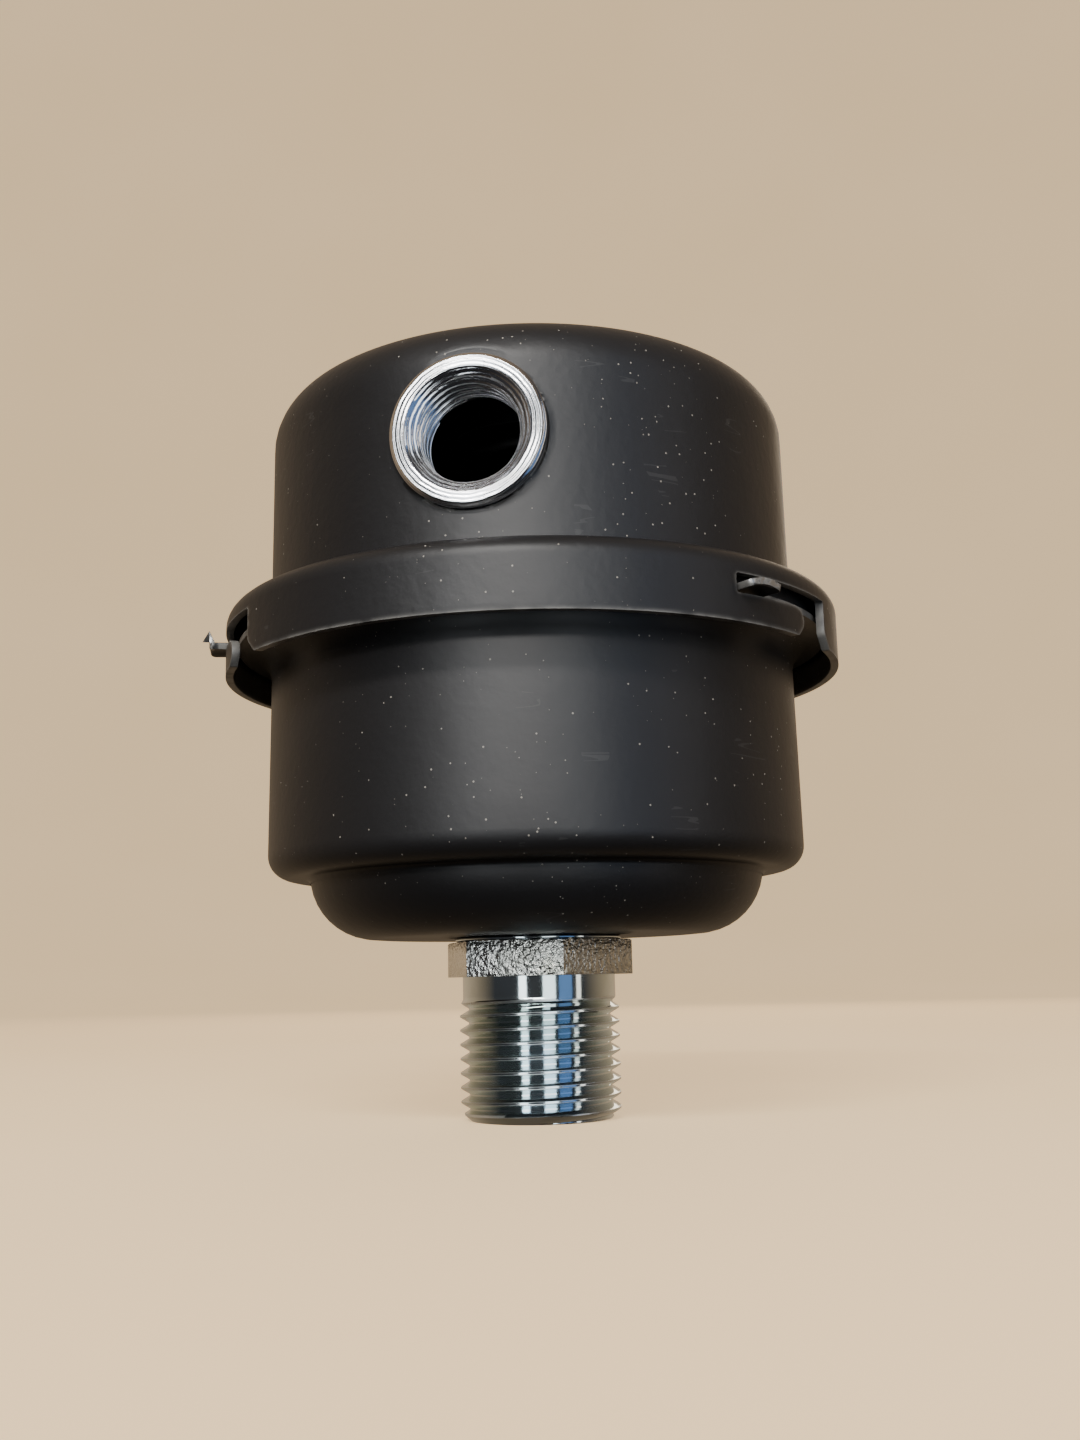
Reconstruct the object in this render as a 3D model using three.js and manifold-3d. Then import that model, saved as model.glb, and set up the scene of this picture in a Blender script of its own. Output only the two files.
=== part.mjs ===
// Intake muffler for a small air compressor: two drawn steel shells joined by a
// twist-lock rim, a hexagon nipple under the base, a threaded inlet bush in the
// side of the cover, and a pleated cartridge held down by a spring inside.
// Millimetres, +Z up. The origin is the centre of the nipple's free end, and the
// inlet faces -Y. Angles about Z are in degrees, counted from -Y towards +X.

import * as THREE from 'three';
import { mergeVertices } from 'three/addons/utils/BufferGeometryUtils.js';
import Module from 'manifold-3d';

const wasm = await Module();
wasm.setup();

// ---------- driving dimensions ----------
const GAP = 0.1;               // left between stacked pieces that bear on each other

// outlet nipple, G 1/2 male thread
const THREAD_R = 10.48;
const THREAD_ROOT_R = 9.32;
const THREAD_PITCH = 1.814;
const THREAD_TURNS = 8;
const NIPPLE_END_R = 9.2;
const NIPPLE_BORE_R = 6.5;
const NECK_R = 10.05;
const HEX_BOTTOM = 18.3;
const HEX_TOP = 22.8;
const HEX_FLATS = 22;
const HEX_CORNER_ANGLE = -34.8;
const SPIGOT_R = 8.3;
const SPIGOT_TOP = 31.0;
const SHELL_HOLE_R = 8.6;
const WASHER_R = 10.95;

// base shell
const BASE_SHEET = 0.8;
const DOME_BOTTOM = 23.4;
const DOME_R = 29.97;
const DOME_BEND_R = 8.77;
const LAND_Z = 31.3;
const BASE_FOOT_R = 35.4;
const BASE_FOOT_BEND_R = 3.0;
const BASE_WALL_TOP_R = 35.1;
const FLANGE_R = 39.5;
const FLANGE_TOP = 62.2;
const FLANGE_BEND_R = 4.0;

// twist lock: three lugs on the base flange, three L-shaped slots in the cover skirt
const LOCKS = 3;
const CLOSED_END = 46.3;       // angle of the first slot's closed end
const SLOT_SPAN = 27.2;
const SLOT_BOTTOM = 61.1;
const SLOT_TOP = 63.5;
const TONGUE_SPAN = 18.4;      // closed end to the tongue's tip
const LUG_START = 0.4;         // lug's first edge, past the slot's closed end
const LUG_SPAN = 6.8;
const LUG_REACH_R = 43.3;

// cover shell
const COVER_SHEET = 1.0;
const COVER_TOP = 96.5;
const COVER_BEND_R = 7.1;
const COVER_WALL_TOP_R = 35.05;
const COVER_WALL_FOOT_R = 35.25;
const SHOULDER_TOP = 66.7;
const SHOULDER_BEND_R = 2.5;
const SKIRT_R = 41.15;
const SKIRT_BOTTOM = 57.7;

// side inlet, G 1/4 female thread
const INLET_Z = 80.8;
const SEAT_FACE = 34.7;        // distance of the pressed flat seat from the axis
const SEAT_R = 10.4;
const SEAT_PAD_R = 9.3;        // where the wall curves away the seat stands proud, under the bush only
const SEAT_PAD_BACK = 33.0;
const BUSH_FACE = 36.4;
const BUSH_FLANGE_T = 1.2;
const BUSH_FLANGE_R = 9.4;
const BUSH_BODY_R = 8.3;
const BUSH_INNER_END = 28.4;
const BUSH_MINOR_R = 6.0;
const BUSH_MAJOR_R = 6.65;
const BUSH_PITCH = 1.337;
const BUSH_TURNS = 4;
const BUSH_MOUTH_R = 7.35;
const BUSH_NUT_FLATS = 17.4;

// cartridge and its spring
const BUSH_WASHER_R = 9.2;
const BUSH_NUT_T = 3.4;
const BUSH_NUT_ANGLE = 0;      // corners above and below the hole
const FLOOR_WASHER_R = 12.5;
const FLOOR_WASHER_T = 0.8;
const FLOOR_NUT_T = 4.1;
const FELT_IN_R = 28.6;
const FELT_OUT_R = 33.8;
const FELT_BOTTOM = 35.2;
const FELT_TOP = 56;
const GASKET_IN_R = 36.2;
const GASKET_OUT_R = 38.6;
const CARTRIDGE_R = 24.9;
const CARTRIDGE_HOLE_R = 10.2;
const SEAL_IN_R = 14.2;
const SEAL_OUT_R = 20.6;
const CARTRIDGE_BOTTOM = 31.0;
const CARTRIDGE_TOP = 74.0;
const CAP_SHEET = 0.6;
const CAP_RIM = 3.4;
const POTTING_T = 1.6;
const CORE_R = 12.0;
const CORE_SHEET = 0.8;
const GUARD_R = 24.2;
const GUARD_SHEET = 0.5;
const CORE_HOLE_R = 2.2;
const GUARD_WINDOW_W = 12;
const GUARD_WINDOW_H = 13;
const PLEATS = 36;
const PLEAT_TIPS = [23.0, 14.2];    // outer face of the paper: tip and valley radii
const PLEAT_BACKS = [21.6, 12.9];   // inner face
const PLATE_R = 15;
const PLATE_T = 0.8;
const BOSS_FOOT_R = 7.4;
const BOSS_TOP_R = 6.6;
const BOSS_H = 3;
const CUP_R = 11.8;
const CUP_SHEET = 0.8;
const CUP_H = 4.5;
const SPRING_R = 9.2;
const SPRING_WIRE_R = 0.9;
const SPRING_TURNS = 4.5;

const SHELL_SIDES = 48;
const ROUND_SIDES = 32;
const CARTRIDGE_SIDES = 36;
const WASHER_SIDES = 24;

// ---------- materials ----------
const paint = () => new THREE.MeshStandardMaterial({ color: 0x1c1b1c, roughness: 0.5, metalness: 0.1 });
const zinc = () => new THREE.MeshStandardMaterial({ color: 0xbfc3c4, roughness: 0.2, metalness: 1.0 });
const nickel = () => new THREE.MeshStandardMaterial({ color: 0xcfcbc6, roughness: 0.22, metalness: 1.0 });
const rubber = () => new THREE.MeshStandardMaterial({ color: 0x161616, roughness: 0.85, metalness: 0.0 });
const fibre = () => new THREE.MeshStandardMaterial({ color: 0x7c2f22, roughness: 0.8, metalness: 0.0 });
const felt = () => new THREE.MeshStandardMaterial({ color: 0x8d8a84, roughness: 1.0, metalness: 0.0 });
const paper = () => new THREE.MeshStandardMaterial({ color: 0xcfae6b, roughness: 0.9, metalness: 0.0 });
const potting = () => new THREE.MeshStandardMaterial({ color: 0xb05a2a, roughness: 0.7, metalness: 0.0 });
const springSteel = () => new THREE.MeshStandardMaterial({ color: 0x6a6c70, roughness: 0.35, metalness: 1.0 });

// ---------- geometry helpers ----------
const radians = (degrees) => THREE.MathUtils.degToRad(degrees);

// Points of an arc in the (radius, z) plane, from angle a to angle b in degrees.
function arc(r, z, radius, a, b, steps) {
  return Array.from({ length: steps + 1 }, (_, i) => {
    const t = radians(a + (b - a) * i / steps);
    return [r + radius * Math.cos(t), z + radius * Math.sin(t)];
  });
}

// Solid of revolution about Z from a closed outline of (radius, z) points.
function turned(outline, sides = ROUND_SIDES) {
  const onAxis = outline[0][0] === 0 && outline.at(-1)[0] === 0;
  const loop = onAxis ? outline : [...outline, outline[0]];
  const area = loop.reduce((sum, [r, z], i) => {
    const [r2, z2] = loop[(i + 1) % loop.length];
    return sum + r * z2 - r2 * z;
  }, 0);
  const points = (area < 0 ? [...loop].reverse() : loop).map(([r, z]) => new THREE.Vector2(r, z));
  const geometry = new THREE.LatheGeometry(points, sides);
  return geometry.rotateX(Math.PI / 2);
}

const ring = (rIn, rOut, z0, z1, sides) =>
  turned([[rIn, z0], [rOut, z0], [rOut, z1], [rIn, z1]], sides);

function disc(r, z0, z1, sides = ROUND_SIDES) {
  return turned([[0, z0], [r, z0], [r, z1], [0, z1]], sides);
}

// Hexagonal prism about Z; the first corner is at cornerAngle.
function hexagon(flats, z0, z1, cornerAngle) {
  const geometry = new THREE.CylinderGeometry(flats / Math.sqrt(3), flats / Math.sqrt(3), z1 - z0, 6);
  geometry.rotateX(Math.PI / 2).rotateZ(radians(cornerAngle) - Math.PI);
  return geometry.translate(0, 0, (z0 + z1) / 2);
}

function toSolid(geometry) {
  const bare = geometry.clone();
  bare.deleteAttribute('normal');
  bare.deleteAttribute('uv');
  const merged = mergeVertices(bare, 1e-4);
  const kept = [];
  const index = merged.index.array;
  for (let i = 0; i < index.length; i += 3) {
    const [a, b, c] = [index[i], index[i + 1], index[i + 2]];
    if (a !== b && b !== c && c !== a) kept.push(a, b, c);
  }
  return new wasm.Manifold(new wasm.Mesh({
    numProp: 3,
    vertProperties: Float32Array.from(merged.attributes.position.array),
    triVerts: Uint32Array.from(kept),
  }));
}

function toGeometry(solid) {
  const mesh = solid.getMesh();
  const geometry = new THREE.BufferGeometry();
  geometry.setAttribute('position', new THREE.BufferAttribute(mesh.vertProperties, 3));
  geometry.setIndex(new THREE.BufferAttribute(mesh.triVerts, 1));
  return geometry;
}

const group = new THREE.Group();

function place(name, geometry, material) {
  const mesh = new THREE.Mesh(geometry, material);
  mesh.name = name;
  group.add(mesh);
  return mesh;
}

// Turns a piece made about +Z so that it points along -Y at the inlet's height.
function atInlet(geometry) {
  return geometry.rotateX(Math.PI / 2).translate(0, 0, INLET_Z);
}

// ---------- outlet nipple ----------
function threadGrooves(z0, pitch, turns, crest, root) {
  const points = [];
  for (let i = 0; i < turns; i++) {
    const z = z0 + i * pitch;
    points.push([crest, z], [root, z + 0.5 * pitch]);
  }
  return points;
}

function outletNipple() {
  const body = turned([
    [NIPPLE_BORE_R, 0],
    [NIPPLE_END_R, 0],
    ...threadGrooves(1.2, THREAD_PITCH, THREAD_TURNS, THREAD_R, THREAD_ROOT_R),
    [NECK_R, 1.2 + THREAD_TURNS * THREAD_PITCH + 0.4],
    [NECK_R, HEX_BOTTOM + 1],
    [SPIGOT_R, HEX_BOTTOM + 1],
    [SPIGOT_R, SPIGOT_TOP],
    [NIPPLE_BORE_R, SPIGOT_TOP],
  ]);
  const hex = toSolid(hexagon(HEX_FLATS, HEX_BOTTOM, HEX_TOP, HEX_CORNER_ANGLE - 90));
  const bore = toSolid(disc(NIPPLE_BORE_R + 0.5, HEX_BOTTOM - 1, HEX_TOP + 1));
  return toGeometry(toSolid(body).add(hex.subtract(bore)));
}

place('outlet_nipple', outletNipple(), zinc());
const hexWasherTop = DOME_BOTTOM - GAP;
place('hex_washer', ring(SHELL_HOLE_R, WASHER_R, HEX_TOP + GAP, hexWasherTop, WASHER_SIDES), zinc());

const domeFloor = DOME_BOTTOM + BASE_SHEET;
const fibreTop = domeFloor + GAP + FLOOR_WASHER_T;
const nutTop = fibreTop + GAP + FLOOR_NUT_T;
place('nipple_fibre_washer', ring(SHELL_HOLE_R, FLOOR_WASHER_R, domeFloor + GAP, fibreTop, WASHER_SIDES), fibre());

function lockNut(flats, holeR, z0, z1, cornerAngle) {
  const hole = toSolid(disc(holeR, z0 - 1, z1 + 1));
  return toGeometry(toSolid(hexagon(flats, z0, z1, cornerAngle)).subtract(hole));
}
place('nipple_locknut', lockNut(HEX_FLATS, SPIGOT_R + 0.2, fibreTop + GAP, nutTop, 0), zinc());

// ---------- base shell with its three lugs ----------
// Half outline of the drawn cup: one sheet, followed outside upwards and inside down.
function baseOutline() {
  const domeC = DOME_R - DOME_BEND_R;
  const domeCz = DOME_BOTTOM + DOME_BEND_R;
  const footC = BASE_FOOT_R - BASE_FOOT_BEND_R;
  const footCz = LAND_Z + BASE_FOOT_BEND_R;
  const lipC = BASE_WALL_TOP_R + FLANGE_BEND_R;
  const lipCz = FLANGE_TOP - BASE_SHEET - FLANGE_BEND_R;
  return [
    [SHELL_HOLE_R, DOME_BOTTOM],
    ...arc(domeC, domeCz, DOME_BEND_R, -90, -7, 5),
    [DOME_R + 0.5, LAND_Z],
    ...arc(footC, footCz, BASE_FOOT_BEND_R, -90, 0, 3),
    ...arc(lipC, lipCz, FLANGE_BEND_R, 180, 90, 3),
    [FLANGE_R, FLANGE_TOP - BASE_SHEET],
    [FLANGE_R, FLANGE_TOP],
    ...arc(lipC, lipCz, FLANGE_BEND_R + BASE_SHEET, 90, 180, 3),
    ...arc(footC, footCz, BASE_FOOT_BEND_R - BASE_SHEET, 0, -90, 2),
    [DOME_R - BASE_SHEET + 0.2, LAND_Z + BASE_SHEET],
    ...arc(domeC, domeCz, DOME_BEND_R - BASE_SHEET, -4, -90, 4),
    [SHELL_HOLE_R, domeFloor],
  ];
}

// Point at an angle counted from -Y towards +X.
const polar = (degrees, r) => new THREE.Vector2(Math.sin(radians(degrees)) * r, -Math.cos(radians(degrees)) * r);

function lug(start) {
  const inner = FLANGE_R - 0.6;
  const mid = start + LUG_SPAN / 2;
  const outline = [
    polar(start, inner), polar(start, LUG_REACH_R), polar(mid, LUG_REACH_R),
    polar(start + LUG_SPAN, LUG_REACH_R), polar(start + LUG_SPAN, inner),
  ];
  const geometry = new THREE.ExtrudeGeometry(new THREE.Shape(outline), { depth: BASE_SHEET, bevelEnabled: false });
  return geometry.translate(0, 0, FLANGE_TOP - BASE_SHEET);
}

function baseShell() {
  let solid = toSolid(turned(baseOutline(), SHELL_SIDES));
  for (let i = 0; i < LOCKS; i++) {
    solid = solid.add(toSolid(lug(CLOSED_END + LUG_START + i * 360 / LOCKS)));
  }
  return toGeometry(solid);
}
place('base_shell', baseShell(), paint());
place('damping_felt', ring(FELT_IN_R, FELT_OUT_R, FELT_BOTTOM, FELT_TOP, CARTRIDGE_SIDES), felt());

// ---------- cover shell with its three slots ----------
function coverOutline() {
  const topC = COVER_WALL_TOP_R - COVER_BEND_R;
  const topCz = COVER_TOP - COVER_BEND_R;
  const rimC = SKIRT_R - SHOULDER_BEND_R;
  const rimCz = SHOULDER_TOP - SHOULDER_BEND_R;
  const inside = SKIRT_R - COVER_SHEET;
  return [
    [0, COVER_TOP - COVER_SHEET],
    ...arc(topC, topCz, COVER_BEND_R - COVER_SHEET, 90, 0, 4),
    [COVER_WALL_FOOT_R - COVER_SHEET, SHOULDER_TOP - COVER_SHEET],
    ...arc(rimC, rimCz, SHOULDER_BEND_R - COVER_SHEET, 90, 0, 2),
    [inside, SKIRT_BOTTOM],
    [SKIRT_R, SKIRT_BOTTOM],
    ...arc(rimC, rimCz, SHOULDER_BEND_R, 0, 90, 3),
    [COVER_WALL_FOOT_R + 0.8, SHOULDER_TOP],
    [COVER_WALL_FOOT_R, SHOULDER_TOP + 0.8],
    ...arc(topC, topCz, COVER_BEND_R, 0, 90, 5),
    [0, COVER_TOP],
  ];
}

// Cutter for one L-shaped slot: the outline is in (angle from the closed end, z),
// and is wrapped round the skirt between two radii.
function slotCutter(closedEnd) {
  const rampStart = TONGUE_SPAN * 0.42;
  const below = SKIRT_BOTTOM - 1;
  const corners = [
    [0, SLOT_TOP], [SLOT_SPAN, SLOT_TOP], [SLOT_SPAN, SKIRT_BOTTOM + 1.4],
    [SLOT_SPAN + 3, SKIRT_BOTTOM - 0.1], [SLOT_SPAN + 3, below],
    [TONGUE_SPAN - 2.5, below], [TONGUE_SPAN - 2.5, SKIRT_BOTTOM - 0.1],
    [TONGUE_SPAN - 0.5, SKIRT_BOTTOM + 1], [TONGUE_SPAN, SKIRT_BOTTOM + 2.2],
    [TONGUE_SPAN - 2, SLOT_BOTTOM - 0.6], [rampStart, SLOT_BOTTOM], [0, SLOT_BOTTOM],
  ];
  const outline = [];
  corners.forEach(([angle, z], i) => {
    const [nextAngle, nextZ] = corners[(i + 1) % corners.length];
    const steps = Math.max(1, Math.round(Math.abs(nextAngle - angle) / 5));
    for (let k = 0; k < steps; k++) {
      const t = k / steps;
      outline.push(new THREE.Vector2(angle + (nextAngle - angle) * t, z + (nextZ - z) * t));
    }
  });
  const geometry = new THREE.ExtrudeGeometry(new THREE.Shape(outline), { depth: 5, bevelEnabled: false });
  const position = geometry.attributes.position;
  for (let i = 0; i < position.count; i++) {
    const wrapped = polar(closedEnd + position.getX(i), 39 + position.getZ(i));
    position.setXYZ(i, wrapped.x, wrapped.y, position.getY(i));
  }
  return geometry;
}

function coverShell() {
  const holeR = BUSH_BODY_R + 0.3;
  const hole = toSolid(atInlet(disc(holeR, 25, 45)));
  const recess = toSolid(atInlet(disc(SEAT_R, SEAT_FACE, 45)));
  const wall = toSolid(disc(COVER_WALL_TOP_R - 0.2, SHOULDER_TOP, COVER_TOP, SHELL_SIDES));
  const backing = toSolid(atInlet(disc(SEAT_R + 0.6, SEAT_FACE - COVER_SHEET, SEAT_FACE - 0.02))).intersect(wall);
  const pad = toSolid(atInlet(disc(SEAT_PAD_R, SEAT_PAD_BACK, SEAT_FACE)));
  let solid = toSolid(turned(coverOutline(), SHELL_SIDES));
  solid = solid.subtract(recess).add(backing).add(pad).subtract(hole);
  for (let i = 0; i < LOCKS; i++) {
    solid = solid.subtract(toSolid(slotCutter(CLOSED_END + i * 360 / LOCKS)));
  }
  return toGeometry(solid);
}
place('cover_shell', coverShell(), paint());
const gasketTop = SHOULDER_TOP - COVER_SHEET - GAP;
place('cover_gasket', ring(GASKET_IN_R, GASKET_OUT_R, FLANGE_TOP + GAP, gasketTop, SHELL_SIDES), rubber());

// ---------- side inlet ----------
// Made about +Z, with z the distance from the muffler's axis.
function inletBush() {
  const grooves = [];
  for (let i = 0; i < BUSH_TURNS; i++) {
    const z = BUSH_FACE - 1.5 - i * BUSH_PITCH;
    grooves.push([BUSH_MINOR_R, z], [BUSH_MAJOR_R, z - BUSH_PITCH / 2]);
  }
  return turned([
    [BUSH_MINOR_R, BUSH_INNER_END],
    [BUSH_BODY_R, BUSH_INNER_END],
    [BUSH_BODY_R, BUSH_FACE - BUSH_FLANGE_T],
    [BUSH_FLANGE_R, BUSH_FACE - BUSH_FLANGE_T],
    [BUSH_FLANGE_R, BUSH_FACE - 0.3],
    [BUSH_FLANGE_R - 0.3, BUSH_FACE],
    [BUSH_MOUTH_R, BUSH_FACE],
    ...grooves,
  ]);
}
const washerOuter = BUSH_FACE - BUSH_FLANGE_T - 0.05;
const nutFace = SEAT_PAD_BACK - 0.15;      // clear of the curved wall beside the flats
place('inlet_bush', atInlet(inletBush()), nickel());
place('inlet_fibre_washer',
  atInlet(ring(BUSH_BODY_R + 0.2, BUSH_WASHER_R, SEAT_FACE + 0.05, washerOuter, WASHER_SIDES)), fibre());
place('inlet_locknut',
  atInlet(lockNut(BUSH_NUT_FLATS, BUSH_BODY_R + 0.1, nutFace - BUSH_NUT_T, nutFace, BUSH_NUT_ANGLE)), zinc());

// ---------- cartridge ----------
function endCap(plateZ, rimZ, holeR) {
  const outside = Math.min(plateZ, rimZ) === plateZ;
  const t = outside ? CAP_SHEET : -CAP_SHEET;
  const rimIn = CARTRIDGE_R - CAP_SHEET;
  if (holeR === 0) {
    return turned([[0, plateZ], [CARTRIDGE_R, plateZ], [CARTRIDGE_R, rimZ], [rimIn, rimZ],
      [rimIn, plateZ + t], [0, plateZ + t]], CARTRIDGE_SIDES);
  }
  return turned([[holeR, plateZ], [CARTRIDGE_R, plateZ], [CARTRIDGE_R, rimZ], [rimIn, rimZ],
    [rimIn, plateZ + t], [holeR + CAP_SHEET, plateZ + t], [holeR + CAP_SHEET, rimZ], [holeR, rimZ]], CARTRIDGE_SIDES);
}
place('cartridge_lower_cap', endCap(CARTRIDGE_BOTTOM, CARTRIDGE_BOTTOM + CAP_RIM, CARTRIDGE_HOLE_R), zinc());
place('cartridge_upper_cap', endCap(CARTRIDGE_TOP, CARTRIDGE_TOP - CAP_RIM, 0), zinc());

const innerBottom = CARTRIDGE_BOTTOM + CAP_SHEET + GAP;
const innerTop = CARTRIDGE_TOP - CAP_SHEET - GAP;
const pottingIn = CORE_R + 0.2;
const pottingOut = GUARD_R - GUARD_SHEET - 0.2;
place('cartridge_lower_potting',
  ring(pottingIn, pottingOut, innerBottom, innerBottom + POTTING_T, CARTRIDGE_SIDES), potting());
place('cartridge_upper_potting',
  ring(pottingIn, pottingOut, innerTop - POTTING_T, innerTop, CARTRIDGE_SIDES), potting());
place('cartridge_seal',
  ring(SEAL_IN_R, SEAL_OUT_R, domeFloor + GAP, CARTRIDGE_BOTTOM - GAP, ROUND_SIDES), rubber());

// Zigzag loop of the pleats, alternating between a tip and a valley radius.
function pleatLoop(tipR, valleyR) {
  return Array.from({ length: 2 * PLEATS }, (_, i) => polar(i * 180 / PLEATS, i % 2 ? valleyR : tipR));
}

function pleatedPaper() {
  const shape = new THREE.Shape(pleatLoop(...PLEAT_TIPS));
  shape.holes.push(new THREE.Path(pleatLoop(...PLEAT_BACKS).reverse()));
  const z0 = innerBottom + POTTING_T + GAP;
  const z1 = innerTop - POTTING_T - GAP;
  return new THREE.ExtrudeGeometry(shape, { depth: z1 - z0, bevelEnabled: false }).translate(0, 0, z0);
}
place('cartridge_paper', pleatedPaper(), paper());

// Tube with rows of openings; cutter makes one opening, pointing along -Y at z = 0.
function perforated(rIn, rOut, columns, rows, cutter, sides) {
  let solid = toSolid(ring(rIn, rOut, innerBottom, innerTop, sides));
  const step = (innerTop - innerBottom - 8) / rows;
  for (let row = 0; row < rows; row++) {
    for (let column = 0; column < columns; column++) {
      const angle = (column + (row % 2) / 2) * 360 / columns;
      const z = innerBottom + 4 + (row + 0.5) * step;
      solid = solid.subtract(toSolid(cutter().rotateZ(radians(angle)).translate(0, 0, z)));
    }
  }
  return toGeometry(solid);
}
const coreHole = () => new THREE.CylinderGeometry(CORE_HOLE_R, CORE_HOLE_R, 4, 8).translate(0, -CORE_R, 0);
const guardWindow = () => new THREE.BoxGeometry(GUARD_WINDOW_W, 4, GUARD_WINDOW_H).translate(0, -GUARD_R, 0);
place('cartridge_core', perforated(CORE_R - CORE_SHEET, CORE_R, 6, 3, coreHole, 24), zinc());
place('cartridge_guard', perforated(GUARD_R - GUARD_SHEET, GUARD_R, 8, 2, guardWindow, CARTRIDGE_SIDES), zinc());

// ---------- spring and its two seats ----------
const plateTop = CARTRIDGE_TOP + GAP + PLATE_T;
const ceiling = COVER_TOP - COVER_SHEET - GAP;
place('pressure_plate', turned([
  [0, CARTRIDGE_TOP + GAP], [PLATE_R, CARTRIDGE_TOP + GAP], [PLATE_R, plateTop], [BOSS_FOOT_R, plateTop],
  [BOSS_TOP_R, plateTop + BOSS_H], [0, plateTop + BOSS_H]]), zinc());
place('spring_cup', turned([
  [0, ceiling - CUP_SHEET], [CUP_R - CUP_SHEET, ceiling - CUP_SHEET], [CUP_R - CUP_SHEET, ceiling - CUP_H],
  [CUP_R, ceiling - CUP_H], [CUP_R, ceiling], [0, ceiling]]), zinc());

function spring() {
  const z0 = plateTop + GAP + SPRING_WIRE_R;
  const z1 = ceiling - CUP_SHEET - GAP - SPRING_WIRE_R;
  const steps = Math.round(SPRING_TURNS * 12);
  const points = Array.from({ length: steps + 1 }, (_, i) => {
    const t = i / steps;
    const flat = THREE.MathUtils.smoothstep(t, 0.02, 0.98);
    const p = polar(360 * SPRING_TURNS * t, SPRING_R);
    return new THREE.Vector3(p.x, p.y, z0 + (z1 - z0) * flat);
  });
  const wire = new THREE.Shape(Array.from({ length: 6 }, (_, i) =>
    new THREE.Vector2(Math.cos(i * Math.PI / 3), Math.sin(i * Math.PI / 3)).multiplyScalar(SPRING_WIRE_R)));
  return new THREE.ExtrudeGeometry(wire,
    { steps, bevelEnabled: false, extrudePath: new THREE.CatmullRomCurve3(points) });
}
place('hold_down_spring', spring(), springSteel());

export default group;
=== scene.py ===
import math

import bmesh
import bpy
import numpy as np
from mathutils import Matrix, Vector
from mathutils.geometry import delaunay_2d_cdt


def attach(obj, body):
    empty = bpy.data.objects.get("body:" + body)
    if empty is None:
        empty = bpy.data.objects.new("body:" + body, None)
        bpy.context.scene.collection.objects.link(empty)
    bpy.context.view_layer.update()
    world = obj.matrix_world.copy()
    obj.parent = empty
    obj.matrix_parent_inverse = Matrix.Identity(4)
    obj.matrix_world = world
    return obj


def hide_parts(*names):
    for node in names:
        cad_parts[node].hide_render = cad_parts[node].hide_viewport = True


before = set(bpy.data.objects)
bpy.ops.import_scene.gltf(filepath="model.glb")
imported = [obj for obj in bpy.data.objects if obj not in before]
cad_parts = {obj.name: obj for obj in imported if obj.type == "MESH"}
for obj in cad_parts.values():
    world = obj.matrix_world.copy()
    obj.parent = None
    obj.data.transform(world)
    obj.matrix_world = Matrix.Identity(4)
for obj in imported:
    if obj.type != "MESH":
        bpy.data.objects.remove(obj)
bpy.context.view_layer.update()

MM = 0.001


# ---------------------------------------------------------------------------
# Viewpoint. The muffler is seen from a hand's length away, level with its
# threaded end and looking slightly up, so the cover leans back.
VIEW_BEARING = math.radians(10.9)     # round the axis, from -Y towards +X
VIEW_DISTANCE = 195.6 * MM
VIEW_ASIDE = 0.9 * MM
VIEW_HEIGHT = 17.9 * MM
VIEW_PITCH = math.radians(10.07)
VIEW_ROLL = math.radians(-1.26)

camera_data = bpy.data.cameras.new("camera")
camera_data.sensor_fit = "VERTICAL"
camera_data.sensor_height = 36
camera_data.lens = 36.4
camera_data.clip_start = 0.01
camera_data.clip_end = 20
camera = bpy.data.objects.new("camera", camera_data)
bpy.context.scene.collection.objects.link(camera)
bpy.context.scene.camera = camera
camera.location = Matrix.Rotation(VIEW_BEARING, 3, "Z") @ Vector((VIEW_ASIDE, -VIEW_DISTANCE, VIEW_HEIGHT))
camera.rotation_euler = (
    Matrix.Rotation(VIEW_BEARING, 3, "Z")
    @ Matrix.Rotation(math.pi / 2 + VIEW_PITCH, 3, "X")
    @ Matrix.Rotation(VIEW_ROLL, 3, "Z")
).to_euler()


# ---------------------------------------------------------------------------
# Floor and studio. A pale warm sweep runs under and up round the muffler, far
# enough out to stay behind it from every side, with soft lamps above it.
SWEEP_FLAT = 0.9
SWEEP_BEND = 0.5
SWEEP_TOP = 2.2
SWEEP_SIDES = 96


def polar(angle, radius, height):
    """Point at an angle in degrees from -Y towards +X, with sizes in millimetres."""
    t = math.radians(angle)
    return Vector((radius * math.sin(t), -radius * math.cos(t), height)) * MM


def node(tree, kind, props=None, **sockets):
    """Adds a shader node; inN names the Nth input, other words name an input, and a socket is linked."""
    made = tree.nodes.new(kind)
    for key, value in (props or {}).items():
        setattr(made, key, value)
    for key, value in sockets.items():
        index = int(key[2:]) if key[:2] == "in" and key[2:].isdigit() else key.replace("_", " ")
        socket = made.inputs[index]
        if isinstance(value, bpy.types.NodeSocket):
            tree.links.new(value, socket)
        else:
            socket.default_value = value
    return made


def blank_material(name):
    """A material with its Principled BSDF, ready for its own nodes."""
    material = bpy.data.materials.new(name)
    material.use_nodes = True
    return material, material.node_tree, material.node_tree.nodes["Principled BSDF"]


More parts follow.
